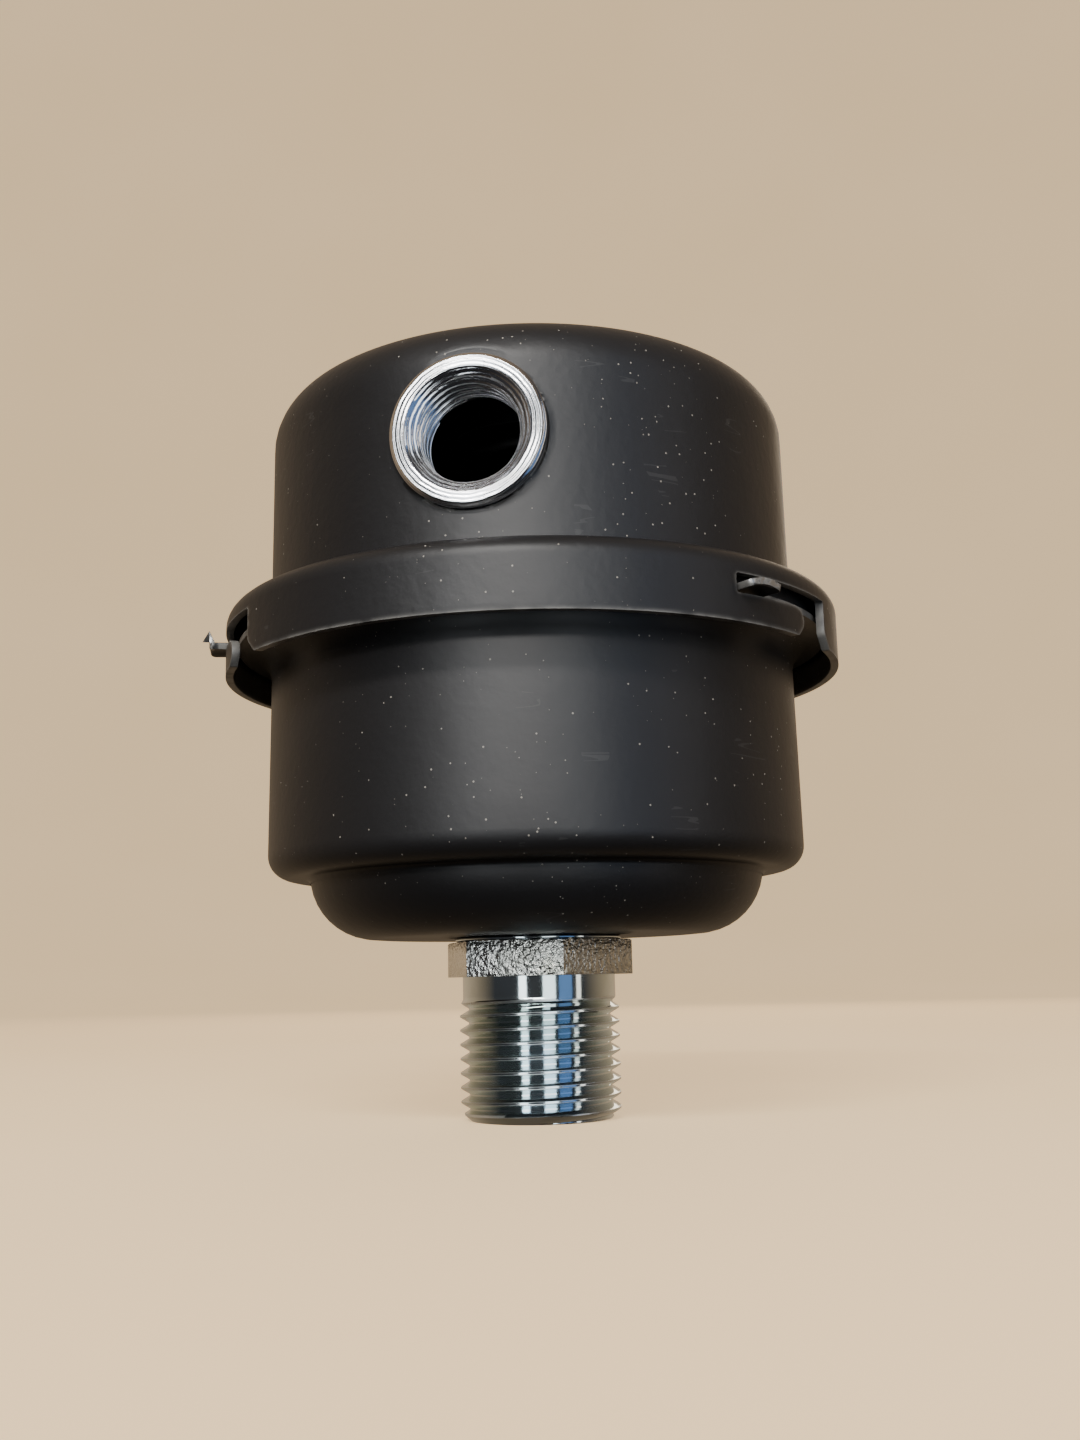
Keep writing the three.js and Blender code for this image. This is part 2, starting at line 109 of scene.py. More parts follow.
def sweep_finish():
    material, tree, shader = blank_material("pale sweep")
    coords = node(tree, "ShaderNodeTexCoord").outputs["Object"]
    cloud = node(tree, "ShaderNodeTexNoise", Vector=coords, Scale=6.0, Detail=2.0)
    tone = node(tree, "ShaderNodeMix", {"data_type": "RGBA"}, in0=cloud.outputs["Fac"],
                in6=(0.68, 0.49, 0.27, 1), in7=(0.72, 0.52, 0.30, 1))
    tree.links.new(tone.outputs[2], shader.inputs["Base Color"])
    shader.inputs["Roughness"].default_value = 0.8
    shader.inputs["Specular IOR Level"].default_value = 0.2
    tree.links.new(tone.outputs[2], shader.inputs["Emission Color"])
    shader.inputs["Emission Strength"].default_value = 1.2
    return material


def make_sweep():
    rings = [(0.0, 0.0), (SWEEP_FLAT * 0.5, 0.0), (SWEEP_FLAT, 0.0)]
    for i in range(1, 9):
        t = math.pi / 2 * i / 8
        rings.append((SWEEP_FLAT + SWEEP_BEND * math.sin(t), SWEEP_BEND * (1 - math.cos(t))))
    rings.append((SWEEP_FLAT + SWEEP_BEND, SWEEP_TOP))
    verts = [(0, 0, 0)]
    faces = []
    for r, z in rings[1:]:
        for k in range(SWEEP_SIDES):
            a = 2 * math.pi * k / SWEEP_SIDES
            verts.append((r * math.sin(a), -r * math.cos(a), z))
    for k in range(SWEEP_SIDES):
        n = (k + 1) % SWEEP_SIDES
        faces.append((0, 1 + k, 1 + n))
        for i in range(len(rings) - 2):
            lower = 1 + i * SWEEP_SIDES
            faces.append((lower + k, lower + SWEEP_SIDES + k, lower + SWEEP_SIDES + n, lower + n))
    mesh = bpy.data.meshes.new("sweep")
    mesh.from_pydata(verts, [], faces)
    for polygon in mesh.polygons:
        polygon.use_smooth = True
    mesh.materials.append(sweep_finish())
    sweep = bpy.data.objects.new("sweep", mesh)
    bpy.context.scene.collection.objects.link(sweep)
    sweep.visible_glossy = False
    sweep.visible_diffuse = False
    return sweep


sweep = make_sweep()


def lamp(name, bearing, height, distance, size, power, colour, aim_height=55):
    """A soft rectangular lamp; bearing is from the viewer's side of the axis, in degrees."""
    data = bpy.data.lights.new(name, "AREA")
    data.shape = "RECTANGLE"
    data.size, data.size_y = size
    data.energy = power
    data.color = colour
    made = bpy.data.objects.new(name, data)
    bpy.context.scene.collection.objects.link(made)
    made.location = polar(math.degrees(VIEW_BEARING) + bearing, distance, height)
    aim = Vector((0, 0, aim_height * MM)) - made.location
    made.rotation_euler = aim.to_track_quat("-Z", "Y").to_euler()
    made.visible_camera = False
    return made


lamp("high key", -13, 480, 520, (0.34, 0.05), 3.3, (1.0, 0.97, 0.93))
lamp("low key", -8, 200, 560, (0.30, 0.05), 1.2, (1.0, 0.97, 0.94))
lamp("left tube", -24, 130, 600, (0.12, 0.70), 1.10, (0.90, 0.96, 1.0))
lamp("centre window", 15, 130, 600, (0.20, 0.70), 1.25, (0.88, 0.95, 1.0))
lamp("blue window", 40, 130, 600, (0.22, 0.70), 0.28, (0.20, 0.44, 0.95))
lamp("back wash", 170, 330, 620, (0.5, 0.3), 1.2, (1.0, 0.84, 0.64))
lamp("right tube", 61, 130, 600, (0.08, 0.70), 0.35, (1.0, 0.93, 0.85))


def studio_air():
    """Dark in front of the muffler and warm behind it, so that its sides mirror the pale sweep."""
    world = bpy.data.worlds.new("studio air")
    world.use_nodes = True
    tree = world.node_tree
    ahead = Matrix.Rotation(VIEW_BEARING, 3, "Z") @ Vector((0, 1, 0))
    way = node(tree, "ShaderNodeTexCoord").outputs["Generated"]
    depth = node(tree, "ShaderNodeVectorMath", {"operation": "DOT_PRODUCT"}, in0=way, in1=ahead)
    share = node(tree, "ShaderNodeMapRange", Value=depth.outputs["Value"], From_Min=-0.35, From_Max=0.8)
    tone = node(tree, "ShaderNodeMix", {"data_type": "RGBA"}, in0=share.outputs[0],
                in6=(0.050, 0.050, 0.055, 1), in7=(0.60, 0.44, 0.28, 1))
    tree.links.new(tone.outputs[2], tree.nodes["Background"].inputs["Color"])
    up = node(tree, "ShaderNodeSeparateXYZ", Vector=way).outputs[2]
    level = node(tree, "ShaderNodeMapRange", Value=up, From_Min=-0.7, From_Max=0.1, To_Min=0.35).outputs[0]
    tree.links.new(level, tree.nodes["Background"].inputs["Strength"])
    return world


bpy.context.scene.world = studio_air()


# ---------------------------------------------------------------------------
# Outlet nipple. Turned from 22 mm hexagon bar, with a G 1/2 thread cut below the
# hexagon and a plain spigot above it that passes through the base, then zinc
# plated bright. The hexagon keeps the grain of the drawn bar.
NIPPLE_SIDES = 180
THREAD_CREST = 10.48
THREAD_ROOT = 9.32
THREAD_PITCH = 1.814
THREAD_START = 0.0
THREAD_FADE = 14.4
THREAD_END = 16.3
NECK = 10.05
BORE = 6.5
SPIGOT = 8.3
HEX_LOW, HEX_HIGH = 18.3, 22.8
HEX_FLATS = 22.0
HEX_CORNER = -34.8
PITCH_STEPS = (0.0, 0.05, 0.16, 0.28, 0.43, 0.5, 0.57, 0.72, 0.84, 0.95)


def smooth(low, high, value):
    t = min(1.0, max(0.0, (value - low) / (high - low)))
    return t * t * (3 - 2 * t)


def fillet(corners, steps=4, closed=True):
    """Rounds each (x, y, radius) corner of an outline into an arc and returns (x, y) points."""
    points = []
    count = len(corners)
    for i, corner in enumerate(corners):
        x, y = corner[:2]
        radius = corner[2] if len(corner) > 2 else 0
        ends = not closed and i in (0, count - 1)
        if radius == 0 or ends:
            points.append((x, y))
            continue
        here = Vector((x, y))
        back = (Vector(corners[i - 1][:2]) - here).normalized()
        ahead = (Vector(corners[(i + 1) % count][:2]) - here).normalized()
        half = back.angle(ahead) / 2
        reach = radius / math.tan(half)
        centre = here + (back + ahead).normalized() * (radius / math.sin(half))
        start, stop = here + back * reach - centre, here + ahead * reach - centre
        turn = start.angle_signed(stop)
        for k in range(steps + 1):
            spoke = start.copy()
            spoke.rotate(Matrix.Rotation(-turn * k / steps, 2))
            points.append(tuple(centre + spoke))
    return points


def revolve(solid, outline, sides, closed=True, centre=(0, 0)):
    """Adds a surface of revolution about Z to a bmesh, from (radius, z) points in millimetres."""
    rows = []
    for r, z in outline:
        if r < 1e-6:
            rows.append([solid.verts.new((0, 0, z * MM))] * sides)
        else:
            rows.append([solid.verts.new(polar(360 * k / sides, r, z)) for k in range(sides)])
    pairs = list(zip(rows, rows[1:] + rows[:1])) if closed else list(zip(rows, rows[1:]))
    for low, high in pairs:
        for k in range(sides):
            n = (k + 1) % sides
            ring = [low[k], low[n], high[n], high[k]]
            ring = [v for i, v in enumerate(ring) if v is not ring[i - 1]]
            if len(ring) > 2:
                solid.faces.new(ring)
    return rows


def finished(name, solid, material, edge_angle=30, weld=1e-7):
    """Welds a bmesh into a named, smooth-shaded object whose sharp or rolled edges are marked."""
    bmesh.ops.remove_doubles(solid, verts=solid.verts, dist=weld)
    bmesh.ops.dissolve_degenerate(solid, edges=solid.edges, dist=weld)
    bmesh.ops.recalc_face_normals(solid, faces=solid.faces)
    mesh = bpy.data.meshes.new(name)
    solid.to_mesh(mesh)
    solid.free()
    mesh.materials.append(material)
    made = bpy.data.objects.new(name, mesh)
    bpy.context.scene.collection.objects.link(made)
    shade(made, edge_angle)
    return made


def shade(made, edge_angle=30):
    mesh = made.data
    for polygon in mesh.polygons:
        polygon.use_smooth = True
    mesh.set_sharp_from_angle(angle=math.radians(edge_angle))


def apply_modifiers(made):
    graph = bpy.context.evaluated_depsgraph_get()
    mesh = bpy.data.meshes.new_from_object(made.evaluated_get(graph))
    made.modifiers.clear()
    made.data = mesh


def mark_edges(made, least=14):
    """Stores 'edge': 1 on vertices of outward bends sharper than least degrees, else 0."""
    solid = bmesh.new()
    solid.from_mesh(made.data)
    limit = math.radians(least)
    values = []
    for vert in solid.verts:
        bends = [e.calc_face_angle_signed(0) for e in vert.link_edges if e.is_manifold]
        values.append(1.0 if bends and max(bends) > limit else 0.0)
    solid.free()
    layer = made.data.attributes.new("edge", "FLOAT", "POINT")
    layer.data.foreach_set("value", values)


def thread_depth(phase):
    """0 at the root and 1 at the crest, with a small flat on each."""
    rise = 1 - abs(2 * (phase % 1) - 1)
    return min(1.0, max(0.0, (rise - 0.1) / 0.76))


def helix_surface(solid, sides, low, high, pitch, radius_at):
    """Adds a screw surface about Z between two heights; radius_at(phase, z) gives its radius."""
    steps = PITCH_STEPS
    per_turn = len(steps)
    turns = math.ceil((high - low) / pitch) + 2
    columns = []
    for k in range(sides):
        column = []
        for turn in range(-1, turns):
            for phase in steps:
                z = low + pitch * (turn + phase - 1 + k / sides)
                z = min(high, max(low, z))
                column.append(solid.verts.new(polar(360 * k / sides, radius_at(phase, z), z)))
        columns.append(column)
    rows = len(columns[0])
    for k in range(sides):
        left = columns[k]
        for i in range(rows - 1):
            if k < sides - 1:
                right = columns[k + 1]
                solid.faces.new((left[i], right[i], right[i + 1], left[i + 1]))
            elif i + per_turn + 1 < rows:
                right = columns[0]
                solid.faces.new((left[i], right[i + per_turn], right[i + per_turn + 1], left[i + 1]))


INLET_Z = 80.8


def inlet_coords(tree, coords):
    """Object coordinates moved so that the inlet's axis runs through their origin."""
    return node(tree, "ShaderNodeVectorMath", {"operation": "SUBTRACT"}, in0=coords,
                in1=(0, 0, INLET_Z * MM)).outputs[0]


def bright_metal(name, colour, tint, roughness, rings=0.0, grain=0.0):
    """Plated bright metal, clouded by the passivation's faint colours, with fine turning or grain."""
    material, tree, shader = blank_material(name)
    coords = node(tree, "ShaderNodeTexCoord").outputs["Object"]
    film = node(tree, "ShaderNodeTexNoise", Vector=coords, Scale=90.0, Detail=3.0, Roughness=0.6)
    ramp = node(tree, "ShaderNodeValToRGB", in0=film.outputs["Fac"])
    ramp.color_ramp.elements[0].position = 0.36
    ramp.color_ramp.elements[0].color = (*tint, 1)
    ramp.color_ramp.elements[1].position = 0.60
    ramp.color_ramp.elements[1].color = (*colour, 1)
    # Marked edges and thread crests are mixed towards near-white: a painted highlight.
    marked = node(tree, "ShaderNodeAttribute", {"attribute_name": "edge"})
    edge = node(tree, "ShaderNodeMath", {"operation": "POWER"}, in0=marked.outputs["Fac"], in1=3.0)
    rim = node(tree, "ShaderNodeMath", {"operation": "MULTIPLY"}, in0=edge.outputs[0], in1=0.55)
    tone = node(tree, "ShaderNodeMix", {"data_type": "RGBA"}, in0=rim.outputs[0],
                in6=ramp.outputs["Color"], in7=(0.93, 0.94, 0.93, 1))
    tree.links.new(tone.outputs[2], shader.inputs["Base Color"])
    shader.inputs["Metallic"].default_value = 1.0
    haze = node(tree, "ShaderNodeTexNoise", Vector=coords, Scale=420.0, Detail=4.0)
    rough = node(tree, "ShaderNodeMapRange", Value=haze.outputs["Fac"], To_Min=roughness * 0.7,
                 To_Max=roughness * 1.35)
    softer = node(tree, "ShaderNodeMath", {"operation": "MULTIPLY_ADD"}, in0=edge.outputs[0], in1=0.28,
                  in2=rough.outputs[0])
    tree.links.new(softer.outputs[0], shader.inputs["Roughness"])
    pits = node(tree, "ShaderNodeTexNoise", Vector=coords, Scale=2600.0 - 900 * grain, Detail=2.0)
    first = node(tree, "ShaderNodeBump", Strength=0.12 + grain, Distance=0.00002 + 0.00016 * grain,
                 Height=pits.outputs["Fac"])
    normal = first
    if rings:
        lines = node(tree, "ShaderNodeTexWave",
                     {"wave_type": "RINGS", "rings_direction": "Y", "wave_profile": "SIN"},
                     Vector=inlet_coords(tree, coords), Scale=rings, Distortion=1.5, Detail=3.0)
        normal = node(tree, "ShaderNodeBump", Strength=0.7, Distance=0.00005,
                      Height=lines.outputs["Fac"], Normal=first.outputs[0])
    tree.links.new(normal.outputs[0], shader.inputs["Normal"])
    return material


zinc = bright_metal("bright zinc plate", (0.74, 0.82, 0.86), (0.62, 0.69, 0.66), 0.09)
sanded_zinc = bright_metal("drawn hexagon grain", (0.80, 0.80, 0.76), (0.66, 0.65, 0.56), 0.26, grain=1.0)


def nipple_thread_radius(phase, z):
    cut = THREAD_ROOT + (THREAD_CREST - THREAD_ROOT) * thread_depth(phase)
    lead = 9.2 + max(0.0, z - THREAD_START) * 1.1
    cut = min(cut, lead, THREAD_CREST - 0.08 * smooth(6, 0, z))
    return cut + (NECK - cut) * smooth(THREAD_FADE, THREAD_END - 0.7, z)


def make_nipple():
    solid = bmesh.new()
    helix_surface(solid, NIPPLE_SIDES, THREAD_START, THREAD_END, THREAD_PITCH, nipple_thread_radius)
    inside = fillet([(9.2, 0), (BORE + 0.5, 0, 0.2), (BORE, 0.5, 0.2), (BORE, 31.0, 0.3),
                     (SPIGOT, 31.0, 0.4), (SPIGOT, 20.0), (NECK, 19.5), (NECK, 18.2),
                     (NECK, THREAD_END + 0.4), (NECK, THREAD_END)],
                    closed=False)
    revolve(solid, inside, NIPPLE_SIDES, closed=False)
    return finished("nipple_turned_body", solid, zinc)


def weld(made, distance):
    """Closes the hair-thin faces that a boolean leaves behind."""
    mesh = bmesh.new()
    mesh.from_mesh(made.data)
    bmesh.ops.remove_doubles(mesh, verts=mesh.verts, dist=distance * MM)
    bmesh.ops.dissolve_degenerate(mesh, dist=distance * MM, edges=mesh.edges)
    mesh.to_mesh(made.data)
    mesh.free()


def make_hexagon(name, flats, hole, low, high, corner_angle, material, both_ends=False):
    """Hexagon with a round hole, its corners turned back at the top or at both ends."""
    solid = bmesh.new()
    corner = flats / math.sqrt(3)
    rows = []
    for z in (low, high):
        rows.append([solid.verts.new(polar(corner_angle + 60 * k, corner, z)) for k in range(6)])
    for k in range(6):
        n = (k + 1) % 6
        solid.faces.new((rows[0][k], rows[0][n], rows[1][n], rows[1][k]))
    solid.faces.new(rows[1])
    solid.faces.new(rows[0][::-1])
    made = finished(name, solid, material)
    turned = flats / 2 - 0.1
    lower = [(0, low - 0.6), (turned, low - 0.6), (corner + 1.3, low + 0.75)]
    if not both_ends:
        lower = [(0, low - 2), (corner + 1.3, low - 2)]
    upper = [(corner + 1.3, high - 0.75), (turned, high + 0.6), (0, high + 0.6)]
    cone = bmesh.new()
    revolve(cone, lower + upper, NIPPLE_SIDES, closed=False)
    drill = bmesh.new()
    through = [(0, low - 3), (hole, low - 3), (hole, high + 3), (0, high + 3)]
    revolve(drill, through, NIPPLE_SIDES, closed=False)
    tools = [(finished(name + "_cone", cone, material), "INTERSECT"),
             (finished(name + "_drill", drill, material), "DIFFERENCE")]
    for tool, operation in tools:
        cut = made.modifiers.new(operation.lower(), "BOOLEAN")
        cut.operation = operation
        cut.solver = "EXACT"
        cut.object = tool
    if not both_ends:
        rounding = made.modifiers.new("rolled edges", "BEVEL")
        rounding.width = 0.14 * MM
        rounding.segments = 3
        rounding.limit_method = "ANGLE"
        rounding.angle_limit = math.radians(25)
    apply_modifiers(made)
    if both_ends:
        weld(made, 0.01)
    for tool, _ in tools:
        bpy.data.objects.remove(tool)
    shade(made)
    return made


nipple = make_nipple()
hexagon = make_hexagon("nipple_hexagon", HEX_FLATS, SPIGOT - 0.05, HEX_LOW, HEX_HIGH, HEX_CORNER,
                       sanded_zinc)
for piece in (nipple, hexagon):
    mark_edges(piece, 20)
    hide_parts("outlet_nipple")
    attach(piece, "base")


# ---------------------------------------------------------------------------
# Washer between hexagon and base: a thin stamped ring, zinc plated, rounded on
# its blanked edge.
def ring_outline(inner, outer, low, high, rounding):
    return fillet([(inner, low, rounding), (outer, low, rounding), (outer, high, rounding),
                   (inner, high, rounding)])


def make_ring(name, inner, outer, low, high, rounding, material, sides=120):
    solid = bmesh.new()
    revolve(solid, ring_outline(inner, outer, low, high, rounding), sides)
    return finished(name, solid, material)


def fixed(piece, cad_node, slot, body="base"):
    """Declares a finished piece: the CAD node it stands for and its body; slot is not used."""
    mark_edges(piece, 20)
    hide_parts(cad_node)
    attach(piece, body)


hex_washer = make_ring("hexagon_washer", 8.6, 10.95, 22.9, 23.3, 0.12, zinc)
fixed(hex_washer, "hex_washer", "zinc_plate")


# ---------------------------------------------------------------------------
# Base shell. Drawn from 0.8 mm steel sheet into a cup with a stepped, domed foot;
# its mouth is turned out into a flange that carries three lanced and arched lugs
# for the twist lock. Stoved with semi-matt black paint.
SHELL_SIDES = 360
BASE_SHEET = 0.8
DOME_BOTTOM, DOME_R, DOME_BEND = 23.4, 29.97, 8.77
LAND_Z = 31.3
FOOT_R, FOOT_BEND = 35.45, 3.0
BASE_MOUTH_R = 35.1
FLANGE_R, FLANGE_UNDER, FLANGE_BEND = 39.5, 61.4, 4.0
LOCKS = 3
CLOSED_END = 46.3
LUG_START, LUG_SPAN, LUG_REACH = 0.4, 6.8, 43.3
LUG_ARCH = 0.5


def node_group(name, inputs, outputs):
    """A shader group with named sockets: inputs are (label, kind, value), outputs (label, kind)."""
    tree = bpy.data.node_groups.new(name, "ShaderNodeTree")
    for label, kind, value in inputs:
        made = tree.interface.new_socket(label, in_out="INPUT", socket_type="NodeSocket" + kind)
        if value is not None:
            made.default_value = value
    for label, kind in outputs:
        tree.interface.new_socket(label, in_out="OUTPUT", socket_type="NodeSocket" + kind)
    return tree, tree.nodes.new("NodeGroupInput").outputs, tree.nodes.new("NodeGroupOutput").inputs


def dust_group():
    """Pale dust: one speck in some cells of a fine lattice, fewer where Cover is low."""
    tree, given, result = node_group(
        "dust", [("Vector", "Vector", None), ("Scale", "Float", 500.0), ("Size", "Float", 0.12),
                 ("Cover", "Float", 0.3)], [("Mask", "Float")])
    cells = node(tree, "ShaderNodeTexVoronoi", Vector=given["Vector"], Scale=given["Scale"], Randomness=1.0)
    spot = node(tree, "ShaderNodeMath", {"operation": "LESS_THAN"}, in0=cells.outputs["Distance"],
                in1=given["Size"])
    pick = node(tree, "ShaderNodeSeparateColor", Color=cells.outputs["Color"])
    chosen = node(tree, "ShaderNodeMath", {"operation": "LESS_THAN"}, in0=pick.outputs[0], in1=given["Cover"])
    both = node(tree, "ShaderNodeMath", {"operation": "MULTIPLY"}, in0=spot.outputs[0], in1=chosen.outputs[0])
    tree.links.new(both.outputs[0], result["Mask"])
    return tree


def scuff_group():
    """Short fine scratches: thin streaks of a stretched noise, broken up by a coarse one."""
    tree, given, result = node_group(
        "scuffs", [("Vector", "Vector", None), ("Scale", "Float", 60.0), ("Amount", "Float", 0.02)],
        [("Mask", "Float")])
    warp = node(tree, "ShaderNodeMapping", Vector=given["Vector"], Rotation=(0.3, 0.2, 0.5), Scale=(1, 1, 9))
    streak = node(tree, "ShaderNodeTexNoise", Vector=warp.outputs[0], Scale=given["Scale"], Detail=1.0)
    centre = node(tree, "ShaderNodeMath", {"operation": "SUBTRACT"}, in0=streak.outputs["Fac"], in1=0.5)
    away = node(tree, "ShaderNodeMath", {"operation": "ABSOLUTE"}, in0=centre.outputs[0])
    thin = node(tree, "ShaderNodeMath", {"operation": "LESS_THAN"}, in0=away.outputs[0], in1=given["Amount"])
    patch_noise = node(tree, "ShaderNodeTexNoise", Vector=given["Vector"], Scale=130.0, Detail=1.0)
    here = node(tree, "ShaderNodeMath", {"operation": "GREATER_THAN"},
                in0=patch_noise.outputs["Fac"], in1=0.69)
    both = node(tree, "ShaderNodeMath", {"operation": "MULTIPLY"}, in0=thin.outputs[0], in1=here.outputs[0])
    tree.links.new(both.outputs[0], result["Mask"])
    return tree


def wear_and_highlight_group():
    """Paint rubbed thin on marked edges, also serving as a painted highlight along them, broken up by a fine
    noise.
    """
    tree, given, result = node_group(
        "edge wear and painted highlight", [("Vector", "Vector", None), ("Edge", "Float", 0.0), ("Amount", "Float", 0.5)],
        [("Mask", "Float")])
    breaks = node(tree, "ShaderNodeTexNoise", Vector=given["Vector"], Scale=260.0, Detail=4.0)
    keep = node(tree, "ShaderNodeMapRange", Value=breaks.outputs["Fac"], From_Min=0.25, From_Max=0.55)
    part = node(tree, "ShaderNodeMath", {"operation": "MULTIPLY"}, in0=keep.outputs[0], in1=given["Amount"])
    narrow = node(tree, "ShaderNodeMath", {"operation": "POWER"}, in0=given["Edge"], in1=4.0)
    both = node(tree, "ShaderNodeMath", {"operation": "MULTIPLY"}, in0=part.outputs[0], in1=narrow.outputs[0])
    tree.links.new(both.outputs[0], result["Mask"])
    return tree


dust, scuffs, edge_wear_and_highlight = dust_group(), scuff_group(), wear_and_highlight_group()


def grouped(tree, group, **sockets):
    return node(tree, "ShaderNodeGroup", {"node_tree": group}, **sockets).outputs["Mask"]


def blend_colour(tree, factor, low, high):
    return node(tree, "ShaderNodeMix", {"data_type": "RGBA"}, in0=factor, in6=low, in7=high).outputs[2]


def math_node(tree, operation, first, second=0.0):
    return node(tree, "ShaderNodeMath", {"operation": operation}, in0=first, in1=second).outputs[0]


def black_paint(name, peel, rubbed_beyond=None):
    """Semi-matt stoved black paint: orange peel, dust, scuffs, worn edges that also carry a painted
    highlight, and bare steel past a radius.
    """
    material, tree, shader = blank_material(name)
    coords = node(tree, "ShaderNodeTexCoord").outputs["Object"]
    edge = node(tree, "ShaderNodeAttribute", {"attribute_name": "edge"}).outputs["Fac"]
    axes = node(tree, "ShaderNodeSeparateXYZ", Vector=coords).outputs
    cloud = node(tree, "ShaderNodeTexNoise", Vector=coords, Scale=45.0, Detail=4.0).outputs["Fac"]
    body = blend_colour(tree, cloud, (0.0085, 0.0080, 0.0085, 1), (0.0135, 0.0125, 0.0130, 1))
    # Marked edges turn grey: worn paint, and also a painted highlight along the rims.
    worn_and_highlit = grouped(tree, edge_wear_and_highlight, Vector=coords, Edge=edge, Amount=0.75)
    body = blend_colour(tree, worn_and_highlit, body, (0.24, 0.23, 0.21, 1))
    scratched = grouped(tree, scuffs, Vector=coords, Scale=70.0, Amount=0.012)
    body = blend_colour(tree, math_node(tree, "MULTIPLY", scratched, 0.14), body, (0.12, 0.115, 0.11, 1))
    spread = node(tree, "ShaderNodeMapRange", Value=axes[0], From_Min=-0.030, From_Max=0.040,
                  To_Min=0.03, To_Max=0.75).outputs[0]
    drift = node(tree, "ShaderNodeMapRange", Value=cloud, From_Min=0.42, From_Max=0.58, To_Min=0.15,
                 To_Max=1.2).outputs[0]
    spread = math_node(tree, "MULTIPLY", spread, drift)
    specks = grouped(tree, dust, Vector=coords, Scale=1000.0, Size=0.11, Cover=spread)
    grit = grouped(tree, dust, Vector=coords, Scale=2100.0, Size=0.13, Cover=0.06)
    dusty = math_node(tree, "MAXIMUM", specks, math_node(tree, "MULTIPLY", grit, 0.5))
    body = blend_colour(tree, math_node(tree, "MULTIPLY", dusty, 0.75), body, (0.42, 0.38, 0.32, 1))
    rough = node(tree, "ShaderNodeMapRange", Value=cloud, To_Min=0.40, To_Max=0.50).outputs[0]
    if rubbed_beyond:
        out = node(tree, "ShaderNodeCombineXYZ", X=axes[0], Y=axes[1]).outputs[0]
        reach = node(tree, "ShaderNodeVectorMath", {"operation": "LENGTH"}, in0=out).outputs["Value"]
        bare = node(tree, "ShaderNodeMapRange", Value=reach, From_Min=(rubbed_beyond - 0.35) * MM,
                    From_Max=rubbed_beyond * MM).outputs[0]
        bare = math_node(tree, "MULTIPLY", bare, node(
            tree, "ShaderNodeMapRange", Value=axes[2], From_Min=61.7 * MM, From_Max=61.95 * MM).outputs[0])
        torn = node(tree, "ShaderNodeTexNoise", Vector=coords, Scale=1100.0, Detail=3.0).outputs["Fac"]
        bare = math_node(tree, "MULTIPLY", bare, node(
            tree, "ShaderNodeMapRange", Value=torn, From_Min=0.42, From_Max=0.56, To_Min=0.15).outputs[0])
        body = blend_colour(tree, bare, body, (0.46, 0.45, 0.43, 1))
        rough = math_node(tree, "SUBTRACT", rough, math_node(tree, "MULTIPLY", bare, 0.12))
        tree.links.new(math_node(tree, "MULTIPLY", bare, 0.9), shader.inputs["Metallic"])
    tree.links.new(body, shader.inputs["Base Color"])
    tree.links.new(rough, shader.inputs["Roughness"])
    skin = node(tree, "ShaderNodeTexNoise", Vector=coords, Scale=900.0, Detail=2.0).outputs["Fac"]
    swell = node(tree, "ShaderNodeTexNoise", Vector=coords, Scale=170.0, Detail=1.0).outputs["Fac"]
    fine = node(tree, "ShaderNodeBump", Strength=0.45 * peel, Distance=0.00008, Height=skin).outputs[0]
    wavy = node(tree, "ShaderNodeBump", Strength=0.30 * peel, Distance=0.00025, Height=swell,
                Normal=fine).outputs[0]
    bumps = node(tree, "ShaderNodeBump", Strength=0.8, Distance=0.00012, Height=dusty, Normal=wavy).outputs[0]
    tree.links.new(bumps, shader.inputs["Normal"])
    return material


base_paint = black_paint("stoved black paint, base", 0.7, rubbed_beyond=42.95)


def densify(points, spacing, closed=False):
    """Adds points along straight stretches so that no step is longer than spacing."""
    dense = []
    ends = points[1:] + (points[:1] if closed else [])
    for (x, y), (x2, y2) in zip(points, ends):
        steps = max(1, math.ceil(math.hypot(x2 - x, y2 - y) / spacing))
        dense += [(x + (x2 - x) * i / steps, y + (y2 - y) * i / steps) for i in range(steps)]
    return dense if closed else dense + [points[-1]]


def inside_loop(points, loop):
    """Which of the (n, 2) points lie inside a closed loop."""
    loop = np.asarray(loop)
    result = np.zeros(len(points), bool)
    for (x1, y1), (x2, y2) in zip(loop, np.roll(loop, -1, axis=0)):
        if y1 == y2:
            continue
        crosses = (points[:, 1] > y1) != (points[:, 1] > y2)
        result ^= crosses & (points[:, 0] < (x2 - x1) * (points[:, 1] - y1) / (y2 - y1) + x1)
    return result


